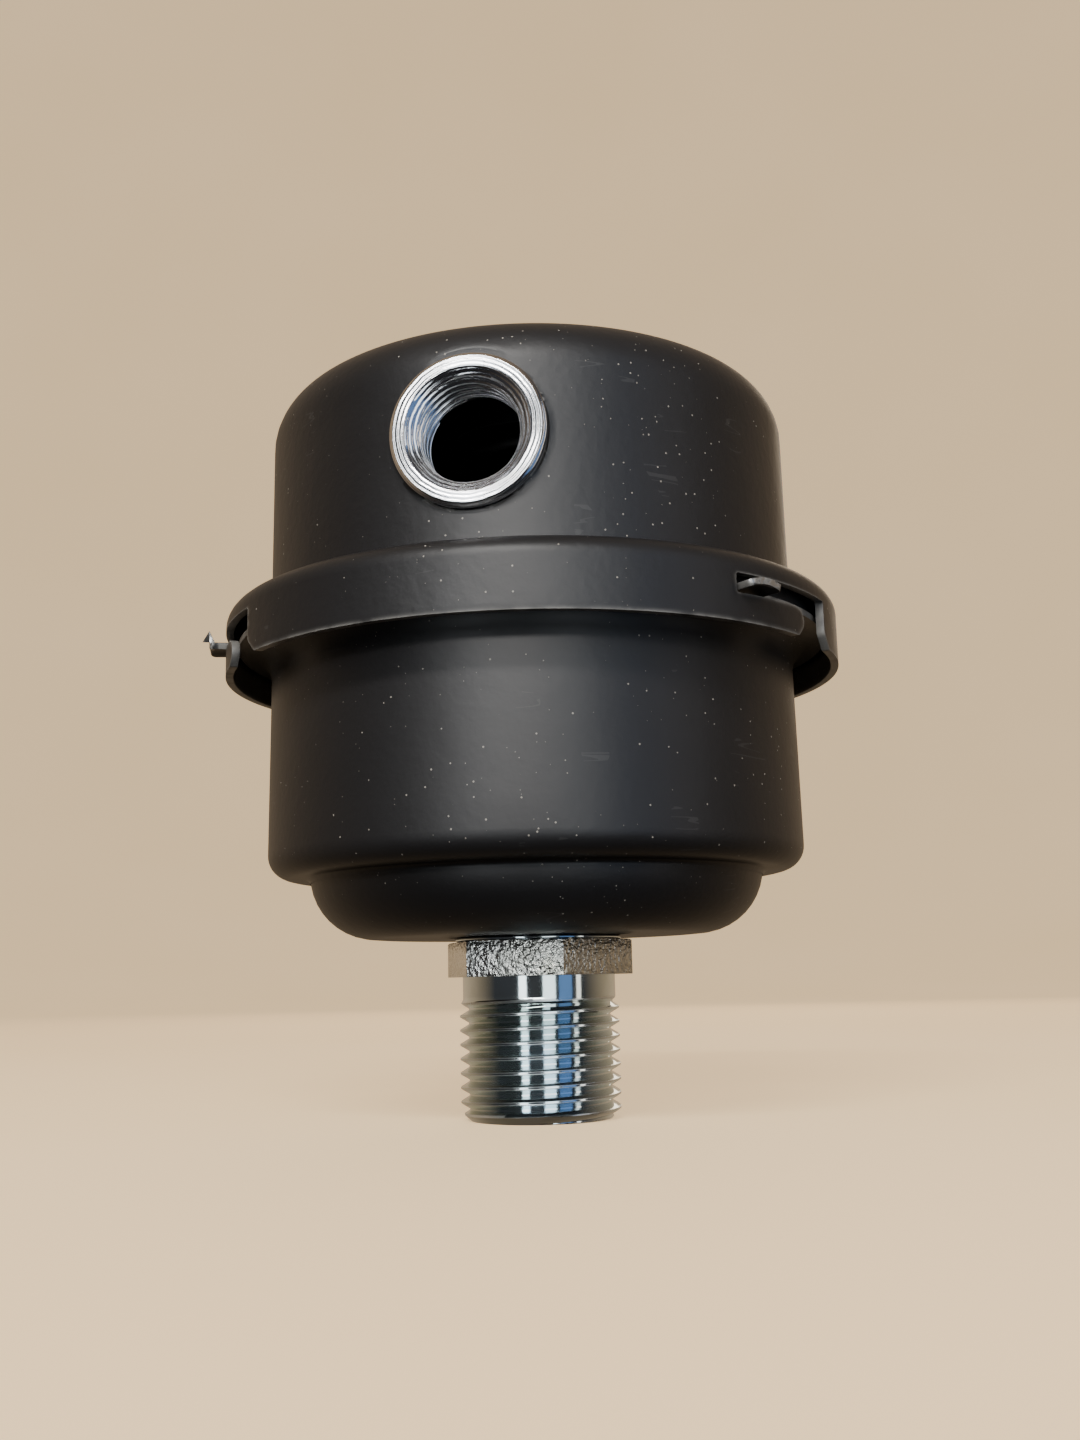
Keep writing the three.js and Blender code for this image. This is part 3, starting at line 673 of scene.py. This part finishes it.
def unrolled_band(solid, sides, scale, lower, upper, place, spacing, holes=(), creases=()):
    """Adds a band of sheet that goes right round the axis, with cut-outs.

    lower and upper are its border lines from 0 to 360 degrees, as (distance round, height)
    in millimetres at scale millimetres a degree; holes and creases are closed loops in it;
    place(angle, height) puts a point in space."""
    turn = 360 * scale
    seam = densify([lower[0], upper[0]], spacing)[1:-1]
    border = lower + [(turn, y) for _, y in seam] + upper[::-1] + [(0.0, y) for _, y in seam[::-1]]
    loops = [border] + [list(loop) for loop in [*holes, *creases]]
    fixed, edges = [], []
    for loop in loops:
        first = len(fixed)
        fixed += loop
        edges += [(first + i, first + (i + 1) % len(loop)) for i in range(len(loop))]
    known = np.array(fixed)
    low, high = known[:, 1].min(), known[:, 1].max()
    rows = max(1, round((high - low) / spacing))
    columns = np.arange(1, sides) * turn / sides
    grid = np.array([(x, low + (high - low) * r / rows) for r in range(1, rows) for x in columns])
    if len(grid):
        gap = np.full(len(grid), np.inf)
        for i in range(0, len(known), 400):
            block = known[i:i + 400]
            gap = np.minimum(gap, np.hypot(grid[:, :1] - block[:, 0], grid[:, 1:] - block[:, 1]).min(axis=1))
        grid = grid[(gap > 0.45 * spacing) & inside_loop(grid, border)]
    points = [Vector(p) for p in fixed] + [Vector(p) for p in grid]
    made = delaunay_2d_cdt(points, edges, [], 0, 1e-6)
    flat = np.array([tuple(v) for v in made[0]])
    faces = np.array(made[2])
    middle = flat[faces].mean(axis=1)
    keep = inside_loop(middle, border)
    for hole in holes:
        keep &= ~inside_loop(middle, hole)
    verts = [solid.verts.new(place(x / scale % 360, y)) for x, y in flat]
    for face in faces[keep]:
        solid.faces.new([verts[i] for i in face])


def sheet_metal(made, thickness, rounding, inward=True):
    """Gives a one-sided sheet its thickness and rolls its cut edges."""
    wall = made.modifiers.new("sheet thickness", "SOLIDIFY")
    wall.thickness = thickness * MM
    wall.offset = -1 if inward else 1
    wall.use_even_offset = True
    edges = made.modifiers.new("deburred edges", "BEVEL")
    edges.width = rounding * MM
    edges.segments = 3
    edges.limit_method = "ANGLE"
    edges.angle_limit = math.radians(50)
    apply_modifiers(made)
    mark_edges(made)
    shade(made, 42)


def flange_line():
    """Edge of the base's flange once round, going out round each lug; radius against distance round."""
    scale = math.radians(FLANGE_R)
    line = [(0.0, FLANGE_R)]
    for i in range(LOCKS):
        start = (CLOSED_END + LUG_START + 120 * i) * scale
        stop = start + LUG_SPAN * scale
        line += [(start, FLANGE_R, 0.5), (start, LUG_REACH, 0.6),
                 (stop, LUG_REACH, 0.6), (stop, FLANGE_R, 0.5)]
    line.append((360 * scale, FLANGE_R))
    return densify(fillet(line, closed=False), 0.7), scale


def lug_lift(angle, radius):
    """How far the arched lugs rise above the flange."""
    offset = (angle - CLOSED_END - LUG_START) % 120 - LUG_SPAN / 2
    if abs(offset) > LUG_SPAN / 2:
        return 0.0
    return LUG_ARCH * math.cos(math.pi * offset / LUG_SPAN) * smooth(FLANGE_R, FLANGE_R + 1.0, radius)


def make_base():
    solid = bmesh.new()
    fillet_end = BASE_MOUTH_R + FLANGE_BEND
    profile = fillet([(8.6, DOME_BOTTOM), (DOME_R, DOME_BOTTOM, DOME_BEND - 0.3), (DOME_R, LAND_Z, 0.7),
                      (FOOT_R, LAND_Z, FOOT_BEND), (BASE_MOUTH_R, FLANGE_UNDER, FLANGE_BEND),
                      (fillet_end + 0.3, FLANGE_UNDER)], steps=10, closed=False)
    profile = densify(profile, 4.0)
    revolve(solid, profile[:-1], SHELL_SIDES, closed=False)
    rim_r = profile[-2][0]
    outer, scale = flange_line()
    inner = [(360 * scale * k / SHELL_SIDES, rim_r) for k in range(SHELL_SIDES + 1)]
    unrolled_band(solid, SHELL_SIDES, scale, inner, outer,
                  lambda angle, r: polar(angle, r, FLANGE_UNDER + lug_lift(angle, r)), 0.7)
    made = finished("base_drawn_shell", solid, base_paint, weld=2e-6)
    if sum(p.normal.z * p.area for p in made.data.polygons if abs(p.center.z - DOME_BOTTOM * MM) < 1e-5) > 0:
        made.data.flip_normals()
    sheet_metal(made, BASE_SHEET, 0.2)
    return made


base_shell = make_base()
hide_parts("base_shell")
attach(base_shell, "base")


# ---------------------------------------------------------------------------
# Fibre washer and lock nut inside the base. The nut runs on the spigot and pulls
# the hexagon against the base; the red vulcanised fibre seals the hole.
FLOOR = DOME_BOTTOM + BASE_SHEET


def plain_finish(name, light, dark, roughness, scale, relief, metallic=0.0, stretch=(1, 1, 1)):
    """One material with clouded colour and a fine relief, its grain stretched if asked."""
    material, tree, shader = blank_material(name)
    coords = node(tree, "ShaderNodeTexCoord").outputs["Object"]
    laid = node(tree, "ShaderNodeMapping", Vector=coords, Scale=stretch).outputs[0]
    cloud = node(tree, "ShaderNodeTexNoise", Vector=coords, Scale=110.0, Detail=4.0).outputs["Fac"]
    grain = node(tree, "ShaderNodeTexNoise", Vector=laid, Scale=scale, Detail=4.0).outputs["Fac"]
    mixed = math_node(tree, "MULTIPLY", math_node(tree, "ADD", cloud, grain), 0.5)
    ramp = node(tree, "ShaderNodeMapRange", Value=mixed, From_Min=0.38, From_Max=0.62).outputs[0]
    body = blend_colour(tree, ramp, (*dark, 1), (*light, 1))
    # Marked edges are mixed to a paler tone: a painted highlight along the edges.
    edge = node(tree, "ShaderNodeAttribute", {"attribute_name": "edge"}).outputs["Fac"]
    pale = tuple(min(1.0, c * 1.35 + 0.02) for c in light)
    body = blend_colour(tree, math_node(tree, "MULTIPLY", edge, 0.4), body, (*pale, 1))
    tree.links.new(body, shader.inputs["Base Color"])
    rough = node(tree, "ShaderNodeMapRange", Value=grain, To_Min=roughness * 0.85,
                 To_Max=min(1.0, roughness * 1.15)).outputs[0]
    tree.links.new(rough, shader.inputs["Roughness"])
    shader.inputs["Metallic"].default_value = metallic
    bump = node(tree, "ShaderNodeBump", Strength=0.5, Distance=relief * MM, Height=grain).outputs[0]
    tree.links.new(bump, shader.inputs["Normal"])
    return material


red_fibre = plain_finish("vulcanised fibre", (0.24, 0.045, 0.025), (0.15, 0.025, 0.015), 0.75, 900.0, 0.03)
nipple_fibre = make_ring("nipple_fibre_ring", 8.6, 12.5, FLOOR + 0.1, FLOOR + 0.9, 0.1, red_fibre)
fixed(nipple_fibre, "nipple_fibre_washer", "red_fibre")
NUT_FLATS, NUT_HOLE, NUT_CORNER = 22.0, 8.5, -30.0
NUT_LOW, NUT_HIGH = FLOOR + 1.0, FLOOR + 5.1
nipple_nut = make_hexagon("nipple_hexagon_locknut", NUT_FLATS, NUT_HOLE, NUT_LOW, NUT_HIGH, NUT_CORNER,
                          zinc, both_ends=True)
fixed(nipple_nut, "nipple_locknut", "zinc_plate")


# ---------------------------------------------------------------------------
# Damping felt. A strip of pressed grey felt, rolled up and sprung into the base
# against its wall to deaden the intake pulses; its surface is fuzzy.
grey_felt = plain_finish("pressed felt", (0.30, 0.29, 0.27), (0.17, 0.165, 0.15), 1.0, 1300.0, 0.35)


def make_felt():
    solid = bmesh.new()
    outline = densify(ring_outline(28.6, 33.8, 35.2, 56.0, 0.8), 0.8, closed=True)
    revolve(solid, outline, SHELL_SIDES)
    made = finished("damping_felt_strip", solid, grey_felt)
    fuzz = np.random.default_rng(7)
    for vert in made.data.vertices:
        across = Vector((vert.co.x, vert.co.y, 0)).length / MM
        inward = -1 if across > 31.2 else 1
        vert.co += Vector((vert.co.x, vert.co.y, 0)).normalized() * inward * fuzz.uniform(0.0, 0.16) * MM
    return made


felt = make_felt()
fixed(felt, "damping_felt", "grey_felt")


# ---------------------------------------------------------------------------
# Cartridge seal. Moulded rubber ring between the base's floor and the cartridge,
# waisted so that the spring above can squeeze it.
black_rubber = plain_finish("nitrile rubber", (0.022, 0.022, 0.022), (0.013, 0.013, 0.013), 0.8, 800.0, 0.02)
CARTRIDGE_LOW, CARTRIDGE_HIGH, CARTRIDGE_R = 31.0, 74.0, 24.9


def make_seal():
    solid = bmesh.new()
    low, high = FLOOR + 0.1, CARTRIDGE_LOW - 0.1
    outline = fillet([(14.2, low, 0.5), (20.6, low, 0.5), (20.6, low + 1.6, 0.4), (19.4, 27.6, 1.0),
                      (20.6, high - 1.6, 0.4), (20.6, high, 0.5), (14.2, high, 0.5)])
    revolve(solid, outline, 144)
    return finished("cartridge_moulded_seal", solid, black_rubber)


seal = make_seal()
fixed(seal, "cartridge_seal", "black_rubber")


# ---------------------------------------------------------------------------
# Cartridge end caps. Pressed from 0.6 mm zinc coated sheet: an open lower cap to
# let the clean air out and a blind upper cap, each with a stiffening step.
CAP_SHEET, CAP_RIM = 0.6, 3.4
zinc_sheet = plain_finish("zinc coated sheet", (0.66, 0.67, 0.67), (0.50, 0.51, 0.51), 0.38, 500.0, 0.01,
                          metallic=1.0)


def make_cap(name, cad_node, face, down, hole):
    """Pressed cap; face is the height of its outside, down is -1 for the upper cap and 1 for the lower."""
    inner, rim = face + down * CAP_SHEET, face + down * CAP_RIM
    outline = [(hole, face), (CARTRIDGE_R, face, 1.0), (CARTRIDGE_R, rim, 0.15),
               (CARTRIDGE_R - CAP_SHEET, rim, 0.15), (CARTRIDGE_R - CAP_SHEET, inner, 0.5)]
    if hole:
        outline += [(hole + CAP_SHEET, inner, 0.3), (hole + CAP_SHEET, rim, 0.15), (hole, rim, 0.15)]
        outline[0] = (hole, face, 0.8)
    else:
        outline.append((0, inner))
    solid = bmesh.new()
    revolve(solid, fillet(outline), 144, closed=hole > 0)
    made = finished(name, solid, zinc_sheet)
    fixed(made, cad_node, "zinc_sheet")
    return made


make_cap("cartridge_lower_pressed_cap", "cartridge_lower_cap", CARTRIDGE_LOW, 1, 10.2)
make_cap("cartridge_upper_pressed_cap", "cartridge_upper_cap", CARTRIDGE_HIGH, -1, 0)


# ---------------------------------------------------------------------------
# Perforated core and guard of the cartridge. Both are rolled from zinc coated
# sheet; round holes in the core, diamond openings in the guard.
INSIDE_LOW, INSIDE_HIGH = CARTRIDGE_LOW + 0.7, CARTRIDGE_HIGH - 0.7
CORE_R, GUARD_R = 12.0, 24.2


def make_tube(name, radius, thickness, columns, rows, corners, width, height, cad_node):
    """Rolled sheet tube with staggered openings; each opening has so many corners."""
    solid = bmesh.new()
    scale = math.radians(radius)
    step = (INSIDE_HIGH - INSIDE_LOW - 6) / rows
    holes = []
    for row in range(rows):
        for column in range(columns):
            x = (column + 0.3 + 0.4 * (row % 2)) * 360 * scale / columns
            y = INSIDE_LOW + 3 + (row + 0.5) * step
            holes.append([(x + width / 2 * math.cos(2 * math.pi * k / corners),
                           y + height / 2 * math.sin(2 * math.pi * k / corners)) for k in range(corners)])
    around = [360 * scale * k / 144 for k in range(145)]
    unrolled_band(solid, 144, scale, [(x, INSIDE_LOW) for x in around], [(x, INSIDE_HIGH) for x in around],
                  lambda angle, z: polar(angle, radius, z), 3.0, holes=holes)
    made = finished(name, solid, zinc_sheet, weld=2e-6)
    if sum((p.center.x * p.normal.x + p.center.y * p.normal.y) * p.area for p in made.data.polygons) < 0:
        made.data.flip_normals()
    wall = made.modifiers.new("sheet thickness", "SOLIDIFY")
    wall.thickness = thickness * MM
    apply_modifiers(made)
    shade(made)
    fixed(made, cad_node, "zinc_sheet")
    return made


make_tube("cartridge_perforated_core", CORE_R, 0.8, 12, 7, 16, 3.4, 3.4, "cartridge_core")
make_tube("cartridge_expanded_guard", GUARD_R, 0.5, 20, 5, 4, 6.4, 6.4, "cartridge_guard")


# ---------------------------------------------------------------------------
# Pleated paper and potting. Resin-treated paper folded into 36 pleats round the
# core; its ends stand in orange plastisol cast into both caps.
PLEATS = 36
filter_paper = plain_finish("resin treated paper", (0.66, 0.47, 0.20), (0.52, 0.35, 0.13), 0.9, 700.0, 0.05,
                            stretch=(1, 1, 0.1))
plastisol = plain_finish("orange plastisol", (0.50, 0.14, 0.035), (0.38, 0.09, 0.02), 0.55, 300.0, 0.05)


def make_paper():
    """Closed strip of sharp-folded pleats, with a slight bow in each flank."""
    solid = bmesh.new()
    loops = []
    for tip, valley in ((23.0, 14.2), (21.6, 12.9)):
        loop = []
        for i in range(2 * PLEATS):
            start, stop = (tip, valley) if i % 2 == 0 else (valley, tip)
            for k in range(6):
                share = k / 6
                bow = 0.35 * math.sin(math.pi * share) * (1 if i % 2 else -1)
                loop.append(((i + share + 0.2 * bow) * 180 / PLEATS, start + (stop - start) * share))
        loops.append(loop)
    low, high = INSIDE_LOW + 1.7, INSIDE_HIGH - 1.7
    rows = [[solid.verts.new(polar(a, r, z)) for a, r in loops[i]] for i, z in
            ((0, low), (0, high), (1, high), (1, low))]
    count = len(loops[0])
    for one, other in zip(rows, rows[1:] + rows[:1]):
        for k in range(count):
            n = (k + 1) % count
            solid.faces.new((one[k], one[n], other[n], other[k]))
    return finished("cartridge_pleated_paper", solid, filter_paper)


paper = make_paper()
fixed(paper, "cartridge_paper", "filter_paper")
lower_potting = make_ring("cartridge_lower_cast_potting", 12.2, 23.5, INSIDE_LOW, INSIDE_LOW + 1.6, 0.2,
                          plastisol)
fixed(lower_potting, "cartridge_lower_potting", "orange_potting")
upper_potting = make_ring("cartridge_upper_cast_potting", 12.2, 23.5, INSIDE_HIGH - 1.6, INSIDE_HIGH, 0.2,
                          plastisol)
fixed(upper_potting, "cartridge_upper_potting", "orange_potting")


# ---------------------------------------------------------------------------
# Pressure plate. A pressed disc lying on the cartridge; its boss centres the foot
# of the spring. Made near-black like the spring, partly as painted shade inside the inlet.
# Near-black: phosphated steel, and also painted shade in the bore behind the inlet.
phosphate_and_painted_shade = plain_finish("phosphated steel, darkened as painted shade", (0.045, 0.045, 0.048), (0.025, 0.025, 0.028), 0.55, 900.0, 0.01,
                          metallic=0.6)
PLATE_LOW, PLATE_HIGH = CARTRIDGE_HIGH + 0.1, CARTRIDGE_HIGH + 0.9


def make_plate():
    solid = bmesh.new()
    outline = fillet([(0, PLATE_LOW), (15, PLATE_LOW, 0.2), (15, PLATE_HIGH, 0.2), (7.4, PLATE_HIGH, 0.4),
                      (6.6, PLATE_HIGH + 3, 0.8), (0, PLATE_HIGH + 3)], closed=False)
    revolve(solid, outline, 120, closed=False)
    return finished("spring_pressure_plate", solid, phosphate_and_painted_shade)


pressure_plate = make_plate()
fixed(pressure_plate, "pressure_plate", "zinc_sheet")


# ---------------------------------------------------------------------------
# Cover shell. Drawn from 1 mm sheet, stepped out over the base's flange into a
# skirt with three L-shaped slots for the lugs; a flat seat is pressed into its
# wall for the inlet bush. Painted with the base.
COVER_SHEET = 1.0
COVER_TOP, COVER_BEND = 96.5, 7.1
WALL_TOP_R, WALL_FOOT_R = 35.05, 35.25
SHOULDER_TOP, SHOULDER_BEND = 66.7, 2.5
SKIRT_R, SKIRT_BOTTOM = 41.15, 57.7
SLOT_LOW, SLOT_HIGH = 61.1, 63.5
SLOT_SPAN, TONGUE_SPAN = 27.2, 18.4
SEAT_FACE, SEAT_R, SEAT_PAD_R, SEAT_HOLE = 34.7, 10.4, 9.1, 8.6

cover_paint = black_paint("stoved black paint, cover", 1.0)


def skirt_line():
    """Lower edge of the skirt once round, going up into each L-shaped slot and back."""
    scale = math.radians(SKIRT_R)
    line = [(0.0, SKIRT_BOTTOM)]
    for i in range(LOCKS):
        closed = CLOSED_END + 120 * i
        corners = [(TONGUE_SPAN - 2.4, SKIRT_BOTTOM, 0.7), (TONGUE_SPAN + 0.7, 59.7, 1.3),
                   (TONGUE_SPAN - 2.4, SLOT_LOW + 0.15, 2.2), (0, SLOT_LOW, 0.35), (0, SLOT_HIGH, 0.35),
                   (SLOT_SPAN, SLOT_HIGH, 0.35), (SLOT_SPAN, 59.4, 1.2), (SLOT_SPAN + 2.9, SKIRT_BOTTOM, 0.5)]
        line += [((closed + angle) * scale, z, radius) for angle, z, radius in corners]
    line.append((360 * scale, SKIRT_BOTTOM))
    return densify(fillet(line, closed=False), 0.7), scale


def wall_place(angle, z):
    """Point of the cover's wall, pressed flat round the inlet."""
    bend_z = COVER_TOP - COVER_BEND
    share = min(1.0, (z - SHOULDER_TOP) / (bend_z - SHOULDER_TOP))
    radius = WALL_FOOT_R + (WALL_TOP_R - WALL_FOOT_R) * share
    radius -= COVER_BEND - math.sqrt(COVER_BEND ** 2 - max(0.0, z - bend_z) ** 2)
    point = polar(angle, radius, z)
    if math.cos(math.radians(angle)) > 0.5:
        away = math.hypot(point.x / MM, z - INLET_Z)
        depth = -point.y / MM
        edge = SEAT_R if depth > SEAT_FACE and z > INLET_Z else SEAT_PAD_R
        flat = smooth(edge + 0.35, edge, away)
        point.y = -(depth + (SEAT_FACE - depth) * flat) * MM
    return point


def circle(centre_x, centre_y, radius, count):
    return [(centre_x + radius * math.cos(2 * math.pi * k / count),
             centre_y + radius * math.sin(2 * math.pi * k / count)) for k in range(count)]


def make_cover():
    solid = bmesh.new()
    wall_low, wall_high = SHOULDER_TOP + 1.2, 92.6
    stop = math.asin((wall_high - COVER_TOP + COVER_BEND) / COVER_BEND)
    upper = [(0, COVER_TOP), (10, COVER_TOP), (20, COVER_TOP)]
    for k in range(15):
        turn = math.pi / 2 + (stop - math.pi / 2) * k / 14
        upper.append((WALL_TOP_R - COVER_BEND + COVER_BEND * math.cos(turn),
                      COVER_TOP - COVER_BEND + COVER_BEND * math.sin(turn)))
    revolve(solid, upper, SHELL_SIDES, closed=False)
    shoulder = fillet([(WALL_FOOT_R, wall_low), (WALL_FOOT_R, SHOULDER_TOP, 1.0),
                       (SKIRT_R, SHOULDER_TOP, SHOULDER_BEND), (SKIRT_R, SHOULDER_TOP - SHOULDER_BEND - 0.2)],
                      steps=8, closed=False)
    share = 1.2 / (COVER_TOP - COVER_BEND - SHOULDER_TOP)
    shoulder[0] = (WALL_FOOT_R + (WALL_TOP_R - WALL_FOOT_R) * share, wall_low)
    revolve(solid, shoulder, SHELL_SIDES, closed=False)

    wall_scale = math.radians(WALL_TOP_R)
    around = [360 * wall_scale * k / SHELL_SIDES for k in range(SHELL_SIDES + 1)]
    seam_shift = 180
    centre = (seam_shift * wall_scale, INLET_Z)
    hole = circle(*centre, SEAT_HOLE, 120)
    creases = [circle(*centre, r, n) for r, n in
               ((SEAT_PAD_R, 120), (SEAT_PAD_R + 0.18, 120), (SEAT_PAD_R + 0.36, 120), (10.0, 132),
                (SEAT_R, 140), (SEAT_R + 0.18, 140), (SEAT_R + 0.36, 140), (SEAT_R + 0.9, 130))]
    unrolled_band(solid, SHELL_SIDES, wall_scale, [(x, wall_low) for x in around],
                  [(x, wall_high) for x in around], lambda angle, z: wall_place(angle - seam_shift, z), 1.2,
                  holes=[hole], creases=creases)

    lower, scale = skirt_line()
    top = SHOULDER_TOP - SHOULDER_BEND - 0.2
    unrolled_band(solid, SHELL_SIDES, scale, lower,
                  [(360 * scale * k / SHELL_SIDES, top) for k in range(SHELL_SIDES + 1)],
                  lambda angle, z: polar(angle, SKIRT_R, z), 0.9)
    made = finished("cover_drawn_shell", solid, cover_paint, weld=2e-6)
    if sum(p.normal.z * p.area for p in made.data.polygons if p.center.z > (COVER_TOP - 0.01) * MM) < 0:
        made.data.flip_normals()
    sheet_metal(made, COVER_SHEET, 0.22)
    return made


cover_shell = make_cover()
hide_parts("cover_shell")
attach(cover_shell, "cover")


# ---------------------------------------------------------------------------
# Cover gasket. Round-cornered rubber ring in the step of the cover; it beds on
# the base's flange when the cover is twisted home.
gasket = make_ring("cover_rubber_gasket", 36.2, 38.6, 62.3, 65.6, 0.7, black_rubber, sides=180)
fixed(gasket, "cover_gasket", "black_rubber", "cover")


# ---------------------------------------------------------------------------
# Inlet bush. Turned from bar and nickel plated, with a G 1/4 female thread; its
# flange bears on the pressed seat and its body passes through the wall.
BUSH_FACE, BUSH_INNER_END = 36.4, 28.4
BUSH_FLANGE_R, BUSH_FLANGE_T, BUSH_BODY_R = 9.4, 1.2, 8.3
BUSH_MINOR, BUSH_MAJOR, BUSH_PITCH = 6.0, 6.65, 1.337
BUSH_MOUTH, BUSH_MOUTH_DEPTH = 7.5, 1.2
THREAD_DEEP = 6.6

turned_nickel = bright_metal("turned nickel plate", (0.74, 0.74, 0.75), (0.55, 0.55, 0.57), 0.17, rings=620.0)


def stand_in_inlet(made):
    """Turns a piece made about Z, depth upwards, so that it lies along the inlet's axis."""
    made.data.transform(Matrix.Translation((0, -BUSH_FACE * MM, INLET_Z * MM))
                        @ Matrix.Rotation(-math.pi / 2, 4, "X"))
    return made


def bush_thread_radius(phase, z):
    cut = BUSH_MINOR + (BUSH_MAJOR - BUSH_MINOR) * thread_depth(phase)
    opened = BUSH_MOUTH - (z - BUSH_MOUTH_DEPTH * 0.15) * 1.5
    return max(cut, min(BUSH_MOUTH, opened)) if z < THREAD_DEEP else BUSH_MAJOR


def make_bush():
    solid = bmesh.new()
    depth = BUSH_FACE - BUSH_INNER_END
    start = BUSH_MOUTH_DEPTH * 0.15
    helix_surface(solid, NIPPLE_SIDES, start, depth - 0.6, BUSH_PITCH, bush_thread_radius)
    outline = fillet([(BUSH_MAJOR, depth - 0.6), (BUSH_MAJOR, depth, 0.1), (BUSH_BODY_R, depth, 0.5),
                      (BUSH_BODY_R, BUSH_FLANGE_T), (BUSH_FLANGE_R, BUSH_FLANGE_T, 0.15),
                      (BUSH_FLANGE_R, 0.45, 0.1), (BUSH_FLANGE_R - 0.45, 0, 0.15),
                      (BUSH_MOUTH + 0.12, 0, 0.06), (BUSH_MOUTH, start)],
                     closed=False)
    revolve(solid, outline, NIPPLE_SIDES, closed=False)
    return stand_in_inlet(finished("inlet_turned_bush", solid, turned_nickel))


bush = make_bush()
fixed(bush, "inlet_bush", "bright_nickel", "cover")


# ---------------------------------------------------------------------------
# Inlet washer and lock nut. The fibre ring seals under the bush's flange; the nut
# runs on the bush inside the cover and clamps the wall between them.
inlet_fibre = stand_in_inlet(make_ring("inlet_fibre_ring", 8.5, 9.2, 1.25, 1.65, 0.08, red_fibre))
fixed(inlet_fibre, "inlet_fibre_washer", "red_fibre", "cover")
INLET_NUT_FLATS, INLET_NUT_HOLE, INLET_NUT_CORNER = 17.4, 8.4, 0.0
INLET_NUT_LOW, INLET_NUT_HIGH = 3.55, 6.95
inlet_nut = stand_in_inlet(make_hexagon("inlet_hexagon_locknut", INLET_NUT_FLATS, INLET_NUT_HOLE,
                                        INLET_NUT_LOW, INLET_NUT_HIGH, INLET_NUT_CORNER,
                                        zinc, both_ends=True))
fixed(inlet_nut, "inlet_locknut", "zinc_plate", "cover")


# ---------------------------------------------------------------------------
# Spring cup and hold-down spring. The pressed cup is spot welded under the cover
# and keeps the spring's head central; the spring of 1.8 mm phosphated wire
# presses the cartridge on its seal.
# Cup and spring are near-black phosphated steel, which also serves as painted shade behind the inlet.
CUP_HIGH = COVER_TOP - COVER_SHEET - 0.1
SPRING_R, WIRE_R, SPRING_TURNS = 9.2, 0.9, 4.5


def make_cup():
    solid = bmesh.new()
    outline = fillet([(0, CUP_HIGH - 0.8), (11, CUP_HIGH - 0.8, 0.3), (11, CUP_HIGH - 4.5, 0.15),
                      (11.8, CUP_HIGH - 4.5, 0.15), (11.8, CUP_HIGH, 0.7), (0, CUP_HIGH)], closed=False)
    revolve(solid, outline, 120, closed=False)
    return finished("spring_pressed_cup", solid, phosphate_and_painted_shade)


def make_spring():
    """Coil with its end turns closed down flat."""
    low = PLATE_HIGH + 0.1 + WIRE_R
    high = CUP_HIGH - 0.8 - 0.1 - WIRE_R
    steps, around = 216, 14
    solid = bmesh.new()
    rings = []
    for i in range(steps + 1):
        share = i / steps
        angle = 360 * SPRING_TURNS * share
        z = low + (high - low) * smooth(0.02, 0.98, share)
        rings.append([solid.verts.new(polar(angle, SPRING_R + WIRE_R * math.cos(t), z + WIRE_R * math.sin(t)))
                      for t in (2 * math.pi * k / around for k in range(around))])
    for one, other in zip(rings, rings[1:]):
        for k in range(around):
            n = (k + 1) % around
            solid.faces.new((one[k], one[n], other[n], other[k]))
    solid.faces.new(rings[0][::-1])
    solid.faces.new(rings[-1])
    return finished("hold_down_coil_spring", solid, phosphate_and_painted_shade, edge_angle=50)


cup = make_cup()
fixed(cup, "spring_cup", "zinc_sheet", "cover")
spring = make_spring()
fixed(spring, "hold_down_spring", "dark_spring_steel", "cover")
